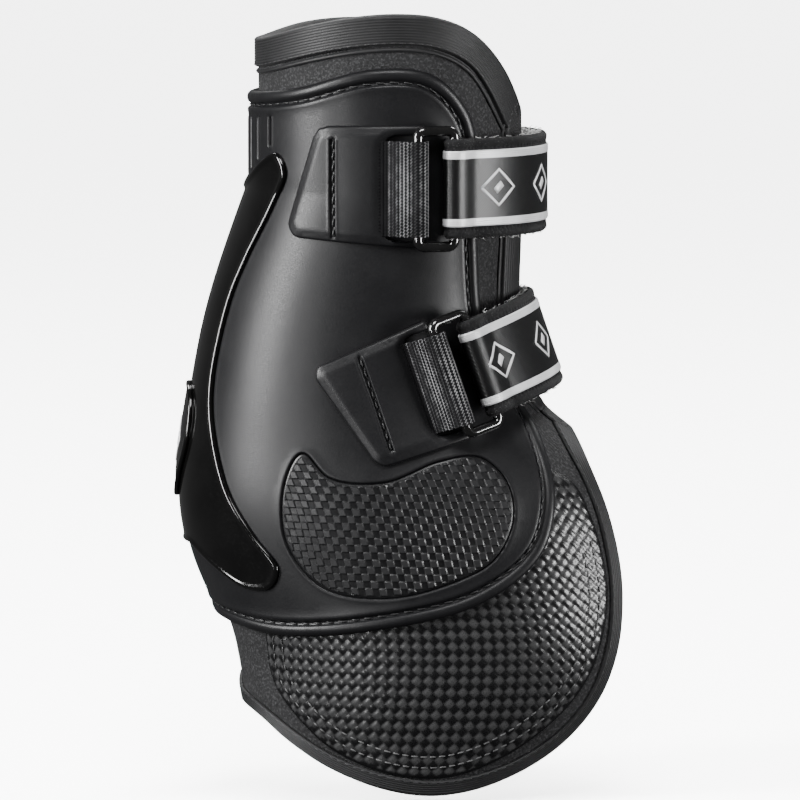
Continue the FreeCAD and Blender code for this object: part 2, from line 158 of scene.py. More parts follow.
def offset_line(turn, level, grown, distance):
    """inward_step taken in small strides, easing any bunching on the way. The distance may
    be one number or one for each point."""
    strides = int(math.ceil(np.abs(distance).max() / STRIDE))
    for _ in range(strides):
        turn, level = [line * (1 - 2 * EASING) + (np.roll(line, 1) + np.roll(line, -1)) * EASING
                       for line in inward_step(turn, level, grown, distance / strides)]
    return turn, level


# ---------------------------------------------------------------- outlines
def smooth_line(points, closed=False, samples=14):
    """A smooth curve through points (centripetal Catmull-Rom)."""
    points = np.array(points, float)
    before, after = points[-1:], points[:2]
    if not closed:
        before, after = 2 * points[:1] - points[1:2], 2 * points[-1:] - points[-2:-1]
    points = np.concatenate([before, points, after])
    line = []
    for a, b, c, d in zip(points, points[1:], points[2:], points[3:]):
        t1, t2, t3 = np.cumsum([math.dist(a, b) ** 0.5, math.dist(b, c) ** 0.5, math.dist(c, d) ** 0.5])
        for t in t1 + (t2 - t1) * np.arange(samples) / samples:
            p = (a * (t1 - t) + b * t) / t1
            q = (b * (t2 - t) + c * (t - t1)) / (t2 - t1)
            r = (c * (t3 - t) + d * (t - t2)) / (t3 - t2)
            p = (p * (t2 - t) + q * t) / t2
            q = (q * (t3 - t) + r * (t - t1)) / (t3 - t1)
            line.append((p * (t2 - t) + q * (t - t1)) / (t2 - t1))
    if not closed:
        line.append(points[-2])
    return np.array(line)


def straight_line(points, samples=10):
    """Straight runs between the corners of a closed outline."""
    corners = np.array(points, float)
    steps = np.linspace(0, 1, samples, endpoint=False)[:, None]
    return np.concatenate([a + (b - a) * steps for a, b in zip(corners, np.roll(corners, -1, 0))])


def travelled(places):
    """The length of a line up to each of its points."""
    return np.concatenate([[0], np.cumsum(np.linalg.norm(np.diff(places, axis=0), axis=1))])


def evenly(turn, level, grown, step):
    """The same closed line with points a step apart along the surface."""
    turn, level = np.append(turn, turn[0]), np.append(level, level[0])
    travel = travelled(on_form(turn, level, grown))
    count = max(int(travel[-1] / step), 8)
    wanted = np.linspace(0, travel[-1], count + 1)[:-1]
    return np.interp(wanted, travel, turn), np.interp(wanted, travel, level)


def wing_edges(inner, outer, grown, step):
    """The edge of a layer that runs round the back: down the inner side and up the outer."""
    halves = []
    for side, outline in ((-1, inner), (1, outer)):
        line = smooth_line(outline)
        steps = np.linspace(0, 1, 40)[1:, None]
        nose, tail = [end + (np.array((BEHIND, end[1])) - end) * steps for end in (line[0], line[-1])]
        line = np.concatenate([nose[::-1], line, tail])
        turn = turn_at(line[:, 0], line[:, 1], side, grown)
        ends = np.nonzero(np.abs(turn - math.pi) > 1e-4)[0]
        first, last = ends[0], ends[-1]
        turn = np.concatenate([[math.pi], turn[first:last + 1], [math.pi]])
        level = line[:, 1][first - 1:last + 2]
        halves.append((turn, level))
    turn, level = [np.concatenate([down, up[::-1][1:-1]]) for down, up in zip(*halves)]
    return evenly(turn, level, grown, step)


def closed_edge(turn, level, grown, step):
    """The edge of a patch, run so that its inside lies to the left."""
    if (turn * np.roll(level, -1) - np.roll(turn, -1) * level).sum() < 0:
        turn, level = turn[::-1], level[::-1]
    return evenly(turn, level, grown, step)


def inner_edge(outline, grown, step):
    """The edge of a patch on the inner side, from its closed outline in the side view."""
    return closed_edge(turn_at(outline[:, 0], outline[:, 1], -1, grown), outline[:, 1], grown, step)


# ---------------------------------------------------------------- meshes
BATCH = 4000


def make_piece(name, places, faces, body, nodes=(), slot=None, material=None, tone=None, crisp=None):
    """A mesh object from points in millimetres, riding on a body and standing for CAD nodes. It
    is shaded smooth, except across edges that bend by more than crisp degrees."""
    mesh = bpy.data.meshes.new(name)
    mesh.from_pydata((np.asarray(places) * MM).tolist(), [], [list(map(int, f)) for f in faces])
    mesh.validate()
    mesh.update()
    if tone is not None:
        layer = mesh.color_attributes.new("tone", "FLOAT_COLOR", "POINT")
        shades = np.repeat(np.asarray(tone, float)[:, None], 4, 1)
        shades[:, 3] = 1
        layer.data.foreach_set("color", shades.ravel())
    mesh.polygons.foreach_set("use_smooth", [True] * len(mesh.polygons))
    if crisp is not None:
        mesh.set_sharp_from_angle(angle=math.radians(crisp))
    piece = bpy.data.objects.new(name, mesh)
    bpy.context.scene.collection.objects.link(piece)
    if material is not None:
        mesh.materials.append(material)
    if body:
        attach(piece, body)
    if nodes:
        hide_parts(*nodes)
    return piece


def strip(faces, first, second, closed):
    """Joins two rows of point numbers with quads."""
    count = len(first)
    for i in range(count if closed else count - 1):
        k = (i + 1) % count
        faces.append((first[i], first[k], second[k], second[i]))


def inside_outline(points, outline):
    """Which flat points lie inside a closed outline."""
    x, y = points[:, 0][:, None], points[:, 1][:, None]
    ax, ay = outline[:, 0][None], outline[:, 1][None]
    bx, by = np.roll(outline[:, 0], -1)[None], np.roll(outline[:, 1], -1)[None]
    crosses = ((ay > y) != (by > y)) & (x < (bx - ax) * (y - ay) / (by - ay + 1e-12) + ax)
    return crosses.sum(1) % 2 == 1


def squared_gaps(points, others):
    """The square of each flat point's distance to the nearest of the others, in batches."""
    gaps = np.zeros(len(points))
    for start in range(0, len(points), BATCH):
        part = points[start:start + BATCH]
        gaps[start:start + BATCH] = ((part[:, None] - others[None]) ** 2).sum(2).min(1)
    return gaps


def lattice(outline, pitch, angle=0.0):
    """A square lattice of flat points that covers an outline."""
    cos, sin = math.cos(angle), math.sin(angle)
    turned = outline @ np.array([[cos, -sin], [sin, cos]])
    low, high = np.floor(turned.min(0) / pitch), np.ceil(turned.max(0) / pitch)
    i, j = np.meshgrid(np.arange(low[0], high[0] + 1) * pitch, np.arange(low[1], high[1] + 1) * pitch)
    return np.stack([i * cos - j * sin, i * sin + j * cos], -1).reshape(-1, 2)


def fill_ring(ring, pitch, angle, extra):
    """Triangles across the inside of a flat ring. Returns the new points and the faces, in
    which numbers below len(ring) are the ring's own points."""
    grid = lattice(ring, pitch, angle)
    grid = grid[inside_outline(grid, ring)]
    grid = grid[squared_gaps(grid, ring) > (pitch * 0.6) ** 2]
    if extra is not None:
        extra = extra[inside_outline(extra, ring)]
        grid = np.concatenate([grid[squared_gaps(grid, extra) > (pitch * 0.45) ** 2], extra])
    points = np.concatenate([ring, grid])
    result = delaunay_2d_cdt([Vector(p) for p in points], [], [list(range(len(ring)))], 1, 1e-6)
    number, fresh = [], []
    for vert, origin in zip(result[0], result[3]):
        own = [k for k in origin if k < len(ring)]
        if own:
            number.append(own[0])
        else:
            number.append(len(ring) + len(fresh))
            fresh.append((vert.x, vert.y))
    return np.array(fresh).reshape(-1, 2), [tuple(number[k] for k in face) for face in result[2]]


def panel(name, edge, base, profile, field, body, nodes=(), pitch=1.6, angle=0.0, height=None,
          extra=None, back_pitch=5.0, tone=None, zero=SPINE_LINE, **looks):
    """A closed panel on the cavity surface. profile is a list of (inset from the edge, grown
    distance) from the back of the edge to the edge of the field; field is the grown distance of
    the face, to which height(flat points) is added."""
    turn, level = edge
    count = len(turn)
    places, faces, rows = [], [], []
    gone = 0.0
    for inset, grown in profile:
        if inset != gone:
            turn, level = offset_line(turn, level, base, inset - gone)
            gone = inset
        rows.append(list(range(len(places), len(places) + count)))
        places.extend(on_form(turn, level, grown))
    for first, second in zip(rows, rows[1:]):
        strip(faces, first, second, True)
    shades = [0.0] * len(places)

    def cover(ring, row, spacing, own_angle, own_extra, grown, relief, shade):
        """Fills a ring with a face: the field, or the back."""
        fresh, triangles = fill_ring(flat_line(ring, base, zero), spacing, own_angle, own_extra)
        start = len(places)
        lift = relief(fresh) if relief else 0.0
        places.extend(on_form(turn_of(*fresh.T, base, zero), fresh[:, 1], grown + lift))
        shades.extend(shade(fresh) if shade else [0.0] * len(fresh))
        return [tuple(row[k] if k < count else start + k - count for k in face) for face in triangles]

    faces += cover((turn, level), rows[-1], pitch, angle, extra, field, height, tone)
    back = cover(edge, rows[0], back_pitch, 0.0, None, profile[0][1], None, None)
    faces += [face[::-1] for face in back]
    return make_piece(name, places, faces, body, nodes, tone=shades, **looks)


def tube(rings):
    """A closed tube through rings of points, capped at both ends."""
    sides, faces = len(rings[0]), []
    for row in range(len(rings) - 1):
        ring = list(range(row * sides, row * sides + sides))
        strip(faces, ring, [k + sides for k in ring], True)
    last = (len(rings) - 1) * sides
    faces += [tuple(range(sides))[::-1], tuple(range(last, last + sides))]
    return [place for ring in rings for place in ring], faces


def closed_bar(rows):
    """Joins rows of points round into one closed bar."""
    count = len(rows[0])
    faces = []
    numbers = [list(range(k * count, (k + 1) * count)) for k in range(len(rows))]
    for first, second in zip(numbers, numbers[1:] + numbers[:1]):
        strip(faces, first, second, False)
    faces += [tuple(row[0] for row in numbers), tuple(row[-1] for row in numbers)[::-1]]
    return np.concatenate(rows), faces


def slab(top, under):
    """A closed slab between two grids of points."""
    count, wide = top.shape[:2]
    upper = np.arange(count * wide).reshape(count, wide)
    lower = upper + count * wide
    faces = []
    for i in range(count - 1):
        for j in range(wide - 1):
            faces.append((upper[i, j], upper[i + 1, j], upper[i + 1, j + 1], upper[i, j + 1]))
            faces.append((lower[i, j], lower[i, j + 1], lower[i + 1, j + 1], lower[i + 1, j]))
        for j, turned in ((0, 1), (wide - 1, -1)):
            faces.append((upper[i, j], lower[i, j], lower[i + 1, j], upper[i + 1, j])[::turned])
    for i, turned in ((0, -1), (count - 1, 1)):
        for j in range(wide - 1):
            faces.append((upper[i, j], lower[i, j], lower[i, j + 1], upper[i, j + 1])[::turned])
    return np.concatenate([top.reshape(-1, 3), under.reshape(-1, 3)]), faces


# Rings of a stitch: share of its length, share of its radius, and how high it arches.
STITCH_RINGS = ((0.0, 0.25, -0.5), (0.12, 0.8, 0.2), (0.5, 1.0, 1.0), (0.88, 0.8, 0.2),
                (1.0, 0.25, -0.5))
# Rows of stitches: pitch, length, radius of the thread, and slant.
SHELL_ROW, FLAP_ROW, TAPE_ROW, TAB_ROW = ((4.0, 2.6, 0.26, 0.14), (2.7, 1.9, 0.26, 0.0),
                                          (2.6, 2.0, 0.22, 0.0), (3.2, 2.5, 0.3, 0.08))


def stitch(start, end, radius, normal, sides=6, bulge=0.4):
    """A short capsule between two points, arched away from the cloth."""
    along = end - start
    length = np.linalg.norm(along)
    along /= length
    across = np.cross(along, normal)
    across /= np.linalg.norm(across)
    up = np.cross(across, along)
    rings = []
    for share, wide, high in STITCH_RINGS:
        centre = start + along * length * share + up * radius * bulge * high
        rings.append([centre + (across * math.cos(angle) + up * math.sin(angle)) * radius * wide
                      for angle in np.arange(sides) * 2 * math.pi / sides])
    return tube(rings)


def gather(parts):
    """Joins lists of points and faces into one."""
    places, faces = [], []
    for own_places, own_faces in parts:
        start = len(places)
        places.extend(own_places)
        faces.extend(tuple(k + start for k in face) for face in own_faces)
    return places, faces


def path_normals(path):
    tangent = np.gradient(path, axis=0)
    tangent /= np.linalg.norm(tangent, axis=1, keepdims=True)
    return np.stack([tangent[:, 1], -tangent[:, 0]], -1)


def stitches(name, turn, level, grown, row, slot="binding", material=None):
    """A row of stitches along a line on the boot, each slanted a little across it."""
    pitch, length, radius, slant = row
    places = on_form(turn, level, grown)
    normals = np.stack([np.cos(turn), -np.sin(turn), 0 * turn], -1)
    travel = travelled(places)

    def spot(values, want):
        return np.array([np.interp(want, travel, values[:, k]) for k in range(3)])

    parts = []
    for middle in np.arange(pitch / 2, travel[-1], pitch):
        start, end = spot(places, middle - length / 2), spot(places, middle + length / 2)
        normal = spot(normals, middle - length / 2)
        side = np.cross(end - start, normal)
        side = side / max(np.linalg.norm(side), 1e-9) * slant
        parts.append(stitch(start - side, end + side, radius, normal))
    make_piece(name, *gather(parts), "boot", slot=slot, material=material or THREAD_LOOK)


# ---------------------------------------------------------------- materials
WAVE_SCALE = 0.314                                # of a wave texture, for one band a metre


def look(name, dark, light, rough, grain, depth, weave=None, weave_depth=0.0, sheen=0.0, coat=0.0,
         metal=0.0, painted_light_colour=None, fleck=None, specular=0.5):
    """A procedural material: two close colours mottled by a slow noise, a fine grain in the
    bump and the roughness, and where asked a woven wave, lighter flecks, or a tone per point
    that paints light and shade with a lighter colour."""
    result = bpy.data.materials.new(name)
    result.use_nodes = True
    nodes, links = result.node_tree.nodes, result.node_tree.links
    shader = nodes["Principled BSDF"]
    place = nodes.new("ShaderNodeTexCoord").outputs["Object"]

    def fill(node, inputs):
        """Links or sets a node's inputs."""
        for socket, value in inputs.items():
            if isinstance(value, bpy.types.NodeSocket):
                links.new(value, node.inputs[socket])
            else:
                node.inputs[socket].default_value = (*value, 1.0) if isinstance(value, tuple) else value

    def add(kind, output, inputs, **settings):
        """A new node's output."""
        node = nodes.new("ShaderNode" + kind)
        for setting, value in settings.items():
            setattr(node, setting, value)
        fill(node, inputs)
        return node.outputs[output]

    def noise(scale, detail=4.0):
        return add("TexNoise", "Fac", {"Scale": scale, "Detail": detail, "Vector": place})

    def mixed(factor, first, second):
        return add("Mix", "Result", {"Factor": factor, "A": first, "B": second}, data_type="RGBA")

    def ranged(value, low, high, start=0.3, end=0.7):
        return add("MapRange", "Result", {"From Min": start, "From Max": end, "To Min": low,
                                          "To Max": high, "Value": value})

    def bumped(height, distance, below=None):
        inputs = {"Strength": 0.8, "Distance": distance * MM, "Height": height}
        return add("Bump", "Normal", {**inputs, "Normal": below} if below else inputs)

    colour = mixed(ranged(noise(90.0), 0.0, 1.0), dark, light)
    if fleck:
        scale, start, fleck_colour = fleck
        spots = ranged(noise(scale, 2.0), 0.0, 1.0, start, start + 0.08)
        colour = mixed(spots, colour, fleck_colour)
    # Painted light and shade: the tone attribute mixes in a lighter colour on the raised inset tiles,
    # the top strands of the basket cloth and the elastic's loop crests.
    if painted_light_colour:
        tone = add("Attribute", "Fac", {}, attribute_name="tone")
        colour = mixed(tone, colour, painted_light_colour)
    fine = noise(grain, 6.0)
    normal = bumped(fine, depth)
    if weave:
        pitch, direction = weave
        bands = add("TexWave", "Fac", {"Scale": WAVE_SCALE / (pitch * MM), "Distortion": 1.5,
                                       "Detail": 1.0, "Vector": place}, bands_direction=direction)
        normal = bumped(bands, weave_depth, normal)
    fill(shader, {"Base Color": colour, "Roughness": ranged(fine, rough - 0.08, rough + 0.08),
                  "Normal": normal, "Metallic": metal, "Specular IOR Level": specular,
                  "Sheen Weight": sheen, "Sheen Roughness": 0.4, "Coat Weight": coat,
                  "Coat Roughness": 0.12})
    return result


def grey(level, blue=None):
    """A grey, or a grey that leans to blue."""
    return level, level, blue or level


SHELL_LOOK = look("moulded_shell", grey(0.0035, 0.004), grey(0.006, 0.0065), 0.4, 2600, 0.03,
                  specular=0.2)
GLOSS_LOOK = look("gloss_insert", grey(0.001), grey(0.002), 0.12, 900, 0.004,
                  coat=0.25, specular=0.3)
# The woven inset's lighter tone colour is painted light on its raised tiles, leaving painted shade on
# the lower ones.
INSET_LOOK = look("woven_inset", grey(0.002, 0.0022), grey(0.004, 0.0045), 0.36, 3000, 0.03,
                  painted_light_colour=grey(0.011, 0.0115), specular=0.25)
JERSEY_LOOK = look("neoprene_jersey", grey(0.004, 0.0043), grey(0.008, 0.0085), 0.75, 1200, 0.5,
                   weave=(0.95, "DIAGONAL"), weave_depth=0.05, sheen=0.04,
                   fleck=(1500, 0.53, grey(0.022, 0.023)), specular=0.2)
FLEECE_LOOK = look("fleece_lining", grey(0.004, 0.0045), grey(0.012, 0.0125), 0.95, 4200, 0.35,
                   sheen=0.1, fleck=(1600, 0.58, grey(0.05)), specular=0.15)
BINDING_LOOK = look("binding_tape", grey(0.003, 0.0033), grey(0.007, 0.0075), 0.55, 3600, 0.06,
                    sheen=0.03, specular=0.25)
THREAD_LOOK = look("black_thread", grey(0.006, 0.0065), grey(0.014, 0.0145), 0.45, 5200, 0.05,
                   specular=0.35)
PALE_THREAD_LOOK = look("grey_thread", grey(0.02, 0.021), grey(0.06), 0.45, 5200, 0.06,
                        specular=0.4)
# The basket cloth's lighter tone colour is a painted highlight on the strands on top.
CARBON_LOOK = look("basket_cloth", grey(0.0015, 0.0017), grey(0.003, 0.0033), 0.3, 4200, 0.02,
                   painted_light_colour=grey(0.026, 0.0265), specular=0.32)
# The elastic's lighter tone colour is a painted highlight on its loop crests.
ELASTIC_LOOK = look("elastic_knit", grey(0.002, 0.0023), grey(0.005, 0.0055), 0.7, 4600, 0.08,
                    painted_light_colour=grey(0.22, 0.225), specular=0.05)
RING_LOOK = look("black_wire", grey(0.002), grey(0.004), 0.12, 1500, 0.006,
                 coat=0.6, specular=0.5)
FELT_LOOK = look("felt_border", grey(0.003, 0.0033), grey(0.008, 0.0085), 0.93, 3200, 0.3, sheen=0.05,
                 fleck=(2600, 0.60, grey(0.035)), specular=0.15)
SATIN_LOOK = look("satin_ribbon", grey(0.0015, 0.0017), grey(0.003, 0.0033), 0.36, 3600, 0.02,
                  weave=(0.42, "DIAGONAL"), weave_depth=0.03, specular=0.3)
SILVER_LOOK = look("silver_weave", (0.42, 0.425, 0.43), grey(0.58, 0.59), 0.42, 5200, 0.04, metal=0.3,
                   weave=(0.3, "Z"), weave_depth=0.03)
PILE_LOOK = look("loop_pile", grey(0.3, 0.297), grey(0.6, 0.59), 0.9, 4200, 0.1, sheen=0.2)
HOOK_LOOK = look("hook_pad", grey(0.003, 0.0033), grey(0.008), 0.5, 3200, 0.05,
                 specular=0.25)


# ---------------------------------------------------------------- outlines in the side view
INNER_LINER = [(-37, 41.5), (-25, 45.4), (-11, 48.4), (3.5, 49.4), (15, 48.2), (24, 44.2),
               (31.5, 36), (36.3, 26), (39.5, 12), (40.5, -10), (40.3, -45), (43, -62),
               (52.8, -72.3), (58.6, -83.5), (63.2, -95), (66.6, -109), (67.6, -120),
               (66.4, -135), (61.5, -149), (52.8, -160.5), (41.2, -169), (26.7, -175),
               (12.2, -177), (-2, -175), (-17, -169.5), (-28.5, -162.5), (-38.5, -155), (-50, -150)]
OUTER_LINER = [(-37, 41.5), (-25, 44.5), (-10, 45.5), (6, 43.5), (20, 37.5), (30, 28),
               (36.5, 16), (40, 2), (40.5, -20), (40.3, -45), (43, -62), (51, -78), (53.5, -95),
               (51, -112), (43, -127), (28, -136), (8, -140), (-14, -142), (-33, -146.5),
               (-50, -150)]
INNER_SHELL = [(-41, 26), (-25, 28.7), (-5, 34.3), (12, 33), (21.5, 23), (24.7, 10),
               (24.5, -18), (26.5, -42), (34.2, -58.7), (43, -74), (47.2, -90), (43.5, -106.5),
               (27, -120), (-2, -128), (-31, -131), (-45, -128.5), (-55, -124.5)]
OUTER_SHELL = [(-41, 26), (-25, 28.2), (-8, 31), (8, 28.5), (18, 20), (22, 8), (22, -20),
               (24, -42), (31, -58), (38, -73), (40, -90), (36, -106), (22, -117.5),
               (-2, -123), (-28, -126), (-45, -126.5), (-55, -124.5)]
SPINE = [(-47, -13), (-42.5, -3), (-36, 7), (-32, 9.5), (-29.3, 4), (-33, -6), (-40.3, -21),
         (-45.5, -34), (-50.5, -57), (-50.5, -70), (-46, -89), (-38.5, -101.5), (-31.5, -111),
         (-34, -117), (-41, -117.5), (-50, -112), (-57, -106)]
WOVEN_INSET = [(-25, -77), (-17, -84), (-1, -85), (15, -79), (26.5, -78), (34.5, -85),
               (36.3, -96), (31, -107), (19.5, -113.5), (-1, -118.5), (-19.5, -115.5),
               (-29.5, -103), (-30, -86)]
FLAP_COVER = [(36, -76), (47.9, -82.7), (54.2, -87), (58.6, -95.7), (62.4, -108), (63.8, -119.5),
              (62.4, -131), (58.6, -142.5), (51.3, -152.8), (38.3, -163.5), (23.8, -170.5),
              (12.2, -172.5), (-2.3, -170.5), (-16.8, -164), (-27, -154.5), (-32.8, -146),
              (-34.8, -137), (-34, -127), (-2, -122), (27, -114), (38, -102)]


# ---------------------------------------------------------------- the moulded shell
SLOTS = [(147, 22.5, 11.5), (157, 22.5, 7.5), (167, 22.3, 4.5), (176, 22.0, 3.0)]
SLOT_HALF, SLOT_DEPTH, SLOT_LIP = 0.5, 1.3, 0.18
POCKET_EDGE = 0.25
INSET_EDGE = inner_edge(smooth_line(WOVEN_INSET, closed=True), SHELL_OUTER, 0.9)


def slot_lines():
    """The slots at the top of the spine as flat lines, on both wings."""
    lines = []
    for degrees, top, bottom in SLOTS:
        for turn in (math.radians(degrees), 2 * math.pi - math.radians(degrees)):
            across = girth(turn, top, LINER_OUTER, SPINE_LINE)
            lines.append((np.array([across, top]), np.array([across, bottom])))
    return lines


def line_distance(points, start, end):
    share = np.clip(((points - start) @ (end - start)) / ((end - start) ** 2).sum(), 0, 1)
    return np.linalg.norm(points - start - share[:, None] * (end - start), axis=1)


def eased(value):
    value = np.clip(value, 0, 1)
    return value * value * (3 - 2 * value)


def shell_relief(points):
    """Slots with raised lips, and the pocket that the woven inset sits in."""
    lift = np.zeros(len(points))
    for start, end in slot_lines():
        gap = line_distance(points, start, end)
        lift -= SLOT_DEPTH * eased((SLOT_HALF + 0.3 - gap) / 0.6)
        lift += SLOT_LIP * eased(1 - abs(gap - SLOT_HALF - 0.55) / 0.45)
    outline = flat_line(INSET_EDGE, LINER_OUTER, SPINE_LINE)
    gaps = np.sqrt(squared_gaps(points, outline))
    gaps = np.where(inside_outline(points, outline), -gaps, gaps)
    lift -= 1.0 * eased((POCKET_EDGE + 0.25 - gaps) / 0.5)
    return lift + 0.1 * eased(1 - abs(gaps - POCKET_EDGE - 0.8) / 0.7)


def shell_details():
    """Extra points where the shell's relief is fine."""
    points = []
    for start, end in slot_lines():
        for reach in (0.2, 0.5, 0.8, 1.1, 1.45, 1.8):
            for angle in np.linspace(0, math.pi, 7):
                points.append(start + reach * np.array([math.cos(angle), math.sin(angle)]))
                points.append(end + reach * np.array([math.cos(angle), -math.sin(angle)]))
            for share in np.linspace(0, 1, int((start[1] - end[1]) / 0.8))[1:-1]:
                for side in (-1, 1):
                    points.append(start + (end - start) * share + np.array([side * reach, 0]))
    for reach in (-0.6, 0.01, 0.3, 0.55, 0.9, 1.3, 1.8):
        points.extend(flat_line(offset_line(*INSET_EDGE, SHELL_OUTER, -reach), LINER_OUTER, SPINE_LINE))
    return np.array(points)


SHELL_RIM = [(0, 5.0), (0, 6.9), (0.25, 7.6), (0.7, 8.1), (1.4, 8.35), (2.2, 8.35), (3.0, 8.1),
             (3.35, 7.7), (3.55, 7.2), (4.45, 7.2), (4.65, 7.7), (4.95, 8.1), (5.4, 8.25),
             (6.1, 8.15), (7.2, 8.0)]
GROOVE_MIDDLE, GROOVE_FLOOR = 4.0, 7.2


def shell():
    edge = wing_edges(INNER_SHELL, OUTER_SHELL, LINER_OUTER, 1.3)
    panel("shell_moulding", edge, LINER_OUTER, SHELL_RIM, SHELL_OUTER, "boot", ["outer_shell"],
          pitch=1.7, height=shell_relief, extra=shell_details(), slot="shell", material=SHELL_LOOK)
    turn, level = offset_line(*edge, LINER_OUTER, GROOVE_MIDDLE)
    stitches("shell_stitches", np.append(turn, turn[0]), np.append(level, level[0]),
             GROOVE_FLOOR + 0.15, SHELL_ROW)


def spine():
    edge = wing_edges(SPINE, SPINE, SHELL_OUTER, 0.9)
    profile = [(0, 7.6), (0, 8.7), (0.15, 9.15), (0.5, 9.45), (1.0, 9.5), (1.5, 9.25), (2.0, 9.0),
               (2.6, 8.95)]
    panel("spine_moulding", edge, SHELL_OUTER, profile, 8.95, "boot", ["spine_insert"], pitch=1.3,
          slot="gloss_insert", material=GLOSS_LOOK)


def emblem_shape():
    """A small diamond in a diamond frame, as flat strips of (points, width)."""
    frame_line = [(-6.4, 0), (0, 5.2), (6.4, 0), (0, -5.2), (-6.4, 0)]
    return [(frame_line, 0.9), ([(-1.3, -1.1), (1.3, 1.1)], 2.2)]


def mark_rows(line, width):
    """Rows of flat points along a line of the mark, and each row's lift, low at both sides."""
    line = np.array(line)
    fine = np.concatenate([np.linspace(a, b, 4)[:-1] for a, b in zip(line, line[1:])] + [line[-1:]])
    side = path_normals(fine) * width / 2
    shares, lifts = (-1, -0.9, 0, 0.9, 1), (-0.15, 0.14, 0.2, 0.14, -0.15)
    return np.array([fine + side * share for share in shares]), lifts


BADGE = [(0, -59), (9, -62), (13, -71), (10.5, -82), (0, -93), (-10.5, -82), (-13, -71), (-9, -62)]
BADGE_FACE, BADGE_MIDDLE = 9.95, -76


def badge():
    """A plain shield on the back of the spine."""
    line = smooth_line(BADGE, closed=True)
    turn = math.pi + np.arcsin(line[:, 0] / (section(line[:, 1])[2] + SHELL_OUTER))
    edge = closed_edge(turn, line[:, 1], SHELL_OUTER, 0.8)
    profile = [(0, 8.8), (0, 9.9), (0.2, 10.3), (0.7, 10.4), (1.3, 10.2), (1.7, BADGE_FACE)]
    panel("badge_relief", edge, SHELL_OUTER, profile, BADGE_FACE, "boot", ["badge_plate"], pitch=1.2,
          slot="gloss_insert", material=GLOSS_LOOK)


def badge_mark():
    """The same plain mark as on the straps, standing on the badge."""
    parts = []
    for line, width in emblem_shape():
        spots, rows = mark_rows(line, width)
        level = BADGE_MIDDLE + spots[..., 0]
        turn = math.pi + spots[..., 1] / (section(level)[2] + SHELL_OUTER)
        places = [on_form(turn[k], level[k], BADGE_FACE + lift) for k, lift in enumerate(rows)]
        parts.append(closed_bar(places))
    make_piece("badge_mark", *gather(parts), "boot", slot="gloss_insert", material=SILVER_LOOK)


TILE = 2.1
TILE_STEP = TILE / 5


def tile_relief(points):
    """Square tiles set like a chessboard: every other one is raised and tips a little."""
    cell = points / TILE + 0.1
    raised = (np.floor(cell).sum(1) % 2).astype(bool)
    across, up = cell[:, 0] % 1.0 - 0.5, cell[:, 1] % 1.0 - 0.5
    return np.where(raised, 0.42 + 0.16 * up, 0.1 + 0.22 * across)


# Painted shade: every other tile is raised and takes the lighter painted tone, while the lower tiles
# between them stay dark.
def tile_painted_shade(points):
    return (np.floor(points / TILE + 0.1).sum(1) % 2) * 1.0


def inset():
    profile = [(0, 6.8), (0, 7.5), (0.2, 7.8), (0.6, 7.9)]
    panel("inset_weave", INSET_EDGE, SHELL_OUTER, profile, 7.85, "boot", ["woven_inset"],
          pitch=TILE_STEP, height=tile_relief, tone=tile_painted_shade, zero=SIDE_LINE, slot="inset",
          material=INSET_LOOK, crisp=12)


# ---------------------------------------------------------------- the padded layers
def jersey_relief(points):
    """Slow unevenness of padded cloth."""
    return 0.12 * np.sin(points[:, 0] / 7.3 + points[:, 1] / 11) * np.cos(points[:, 1] / 6.1)


def liner():
    edge = wing_edges(INNER_LINER, OUTER_LINER, LINER_OUTER, 1.8)
    profile = [(0, 1.25), (-0.1, 2.4), (-0.1, 3.8), (0.3, 4.7), (1.2, 5.0), (2.5, 5.1)]
    pad = panel("neoprene_pad", edge, LINER_OUTER, profile, 5.05, "boot", ["neoprene_liner"],
                pitch=2.2, height=jersey_relief, slot="neoprene", material=JERSEY_LOOK)


def fleece_relief(points):
    wobble = np.sin(points[:, 0] * 2.9 + np.sin(points[:, 1] * 1.7)) * np.sin(points[:, 1] * 2.3)
    return -0.18 * wobble


def lining():
    """The soft lining: its face is the inside of the boot, so the profile runs outside in. It
    is cut square with the liner's edge."""
    turn, level = wing_edges(INNER_LINER, OUTER_LINER, LINER_OUTER, 1.8)
    profile = [(0.2, 1.15), (0.1, 0.6), (0.4, 0.15), (1.0, 0.0)]
    cloth = panel("fleece_lining", (turn, level), LINING_OUTER, profile, 0.0, "boot",
                  ["inner_lining"], pitch=1.4, height=fleece_relief, slot="lining",
                  material=FLEECE_LOOK)


BASKET = 2.4


def cloth_tiles(points):
    """Plain weave at 45 degrees: which strand is on top, and where in its float."""
    turned = np.stack([points[:, 0] + points[:, 1], points[:, 1] - points[:, 0]], -1) / math.sqrt(2)
    cell = turned / BASKET + 0.1
    over = (np.floor(cell).sum(1) % 2).astype(bool)
    spot = cell % 1.0 - 0.5
    along = np.where(over, spot[:, 0], spot[:, 1])
    across = np.where(over, spot[:, 1], spot[:, 0])
    return over, along, across


def basket_relief(points):
    along, across = cloth_tiles(points)[1:]
    rounded = np.sqrt(np.maximum(1 - (abs(across) * 1.95) ** 4, 0))
    return 0.5 * rounded * (1 - 2.4 * along ** 2)


# Painted highlight: the strands on top are lighter along their middle and darker towards their edges,
# while the strands underneath stay dark.
def basket_painted_highlight(points):
    over, along, across = cloth_tiles(points)
    return np.where(over, 1 - 0.3 * abs(along) - 0.7 * eased((abs(across) - 0.34) / 0.14), 0.0)


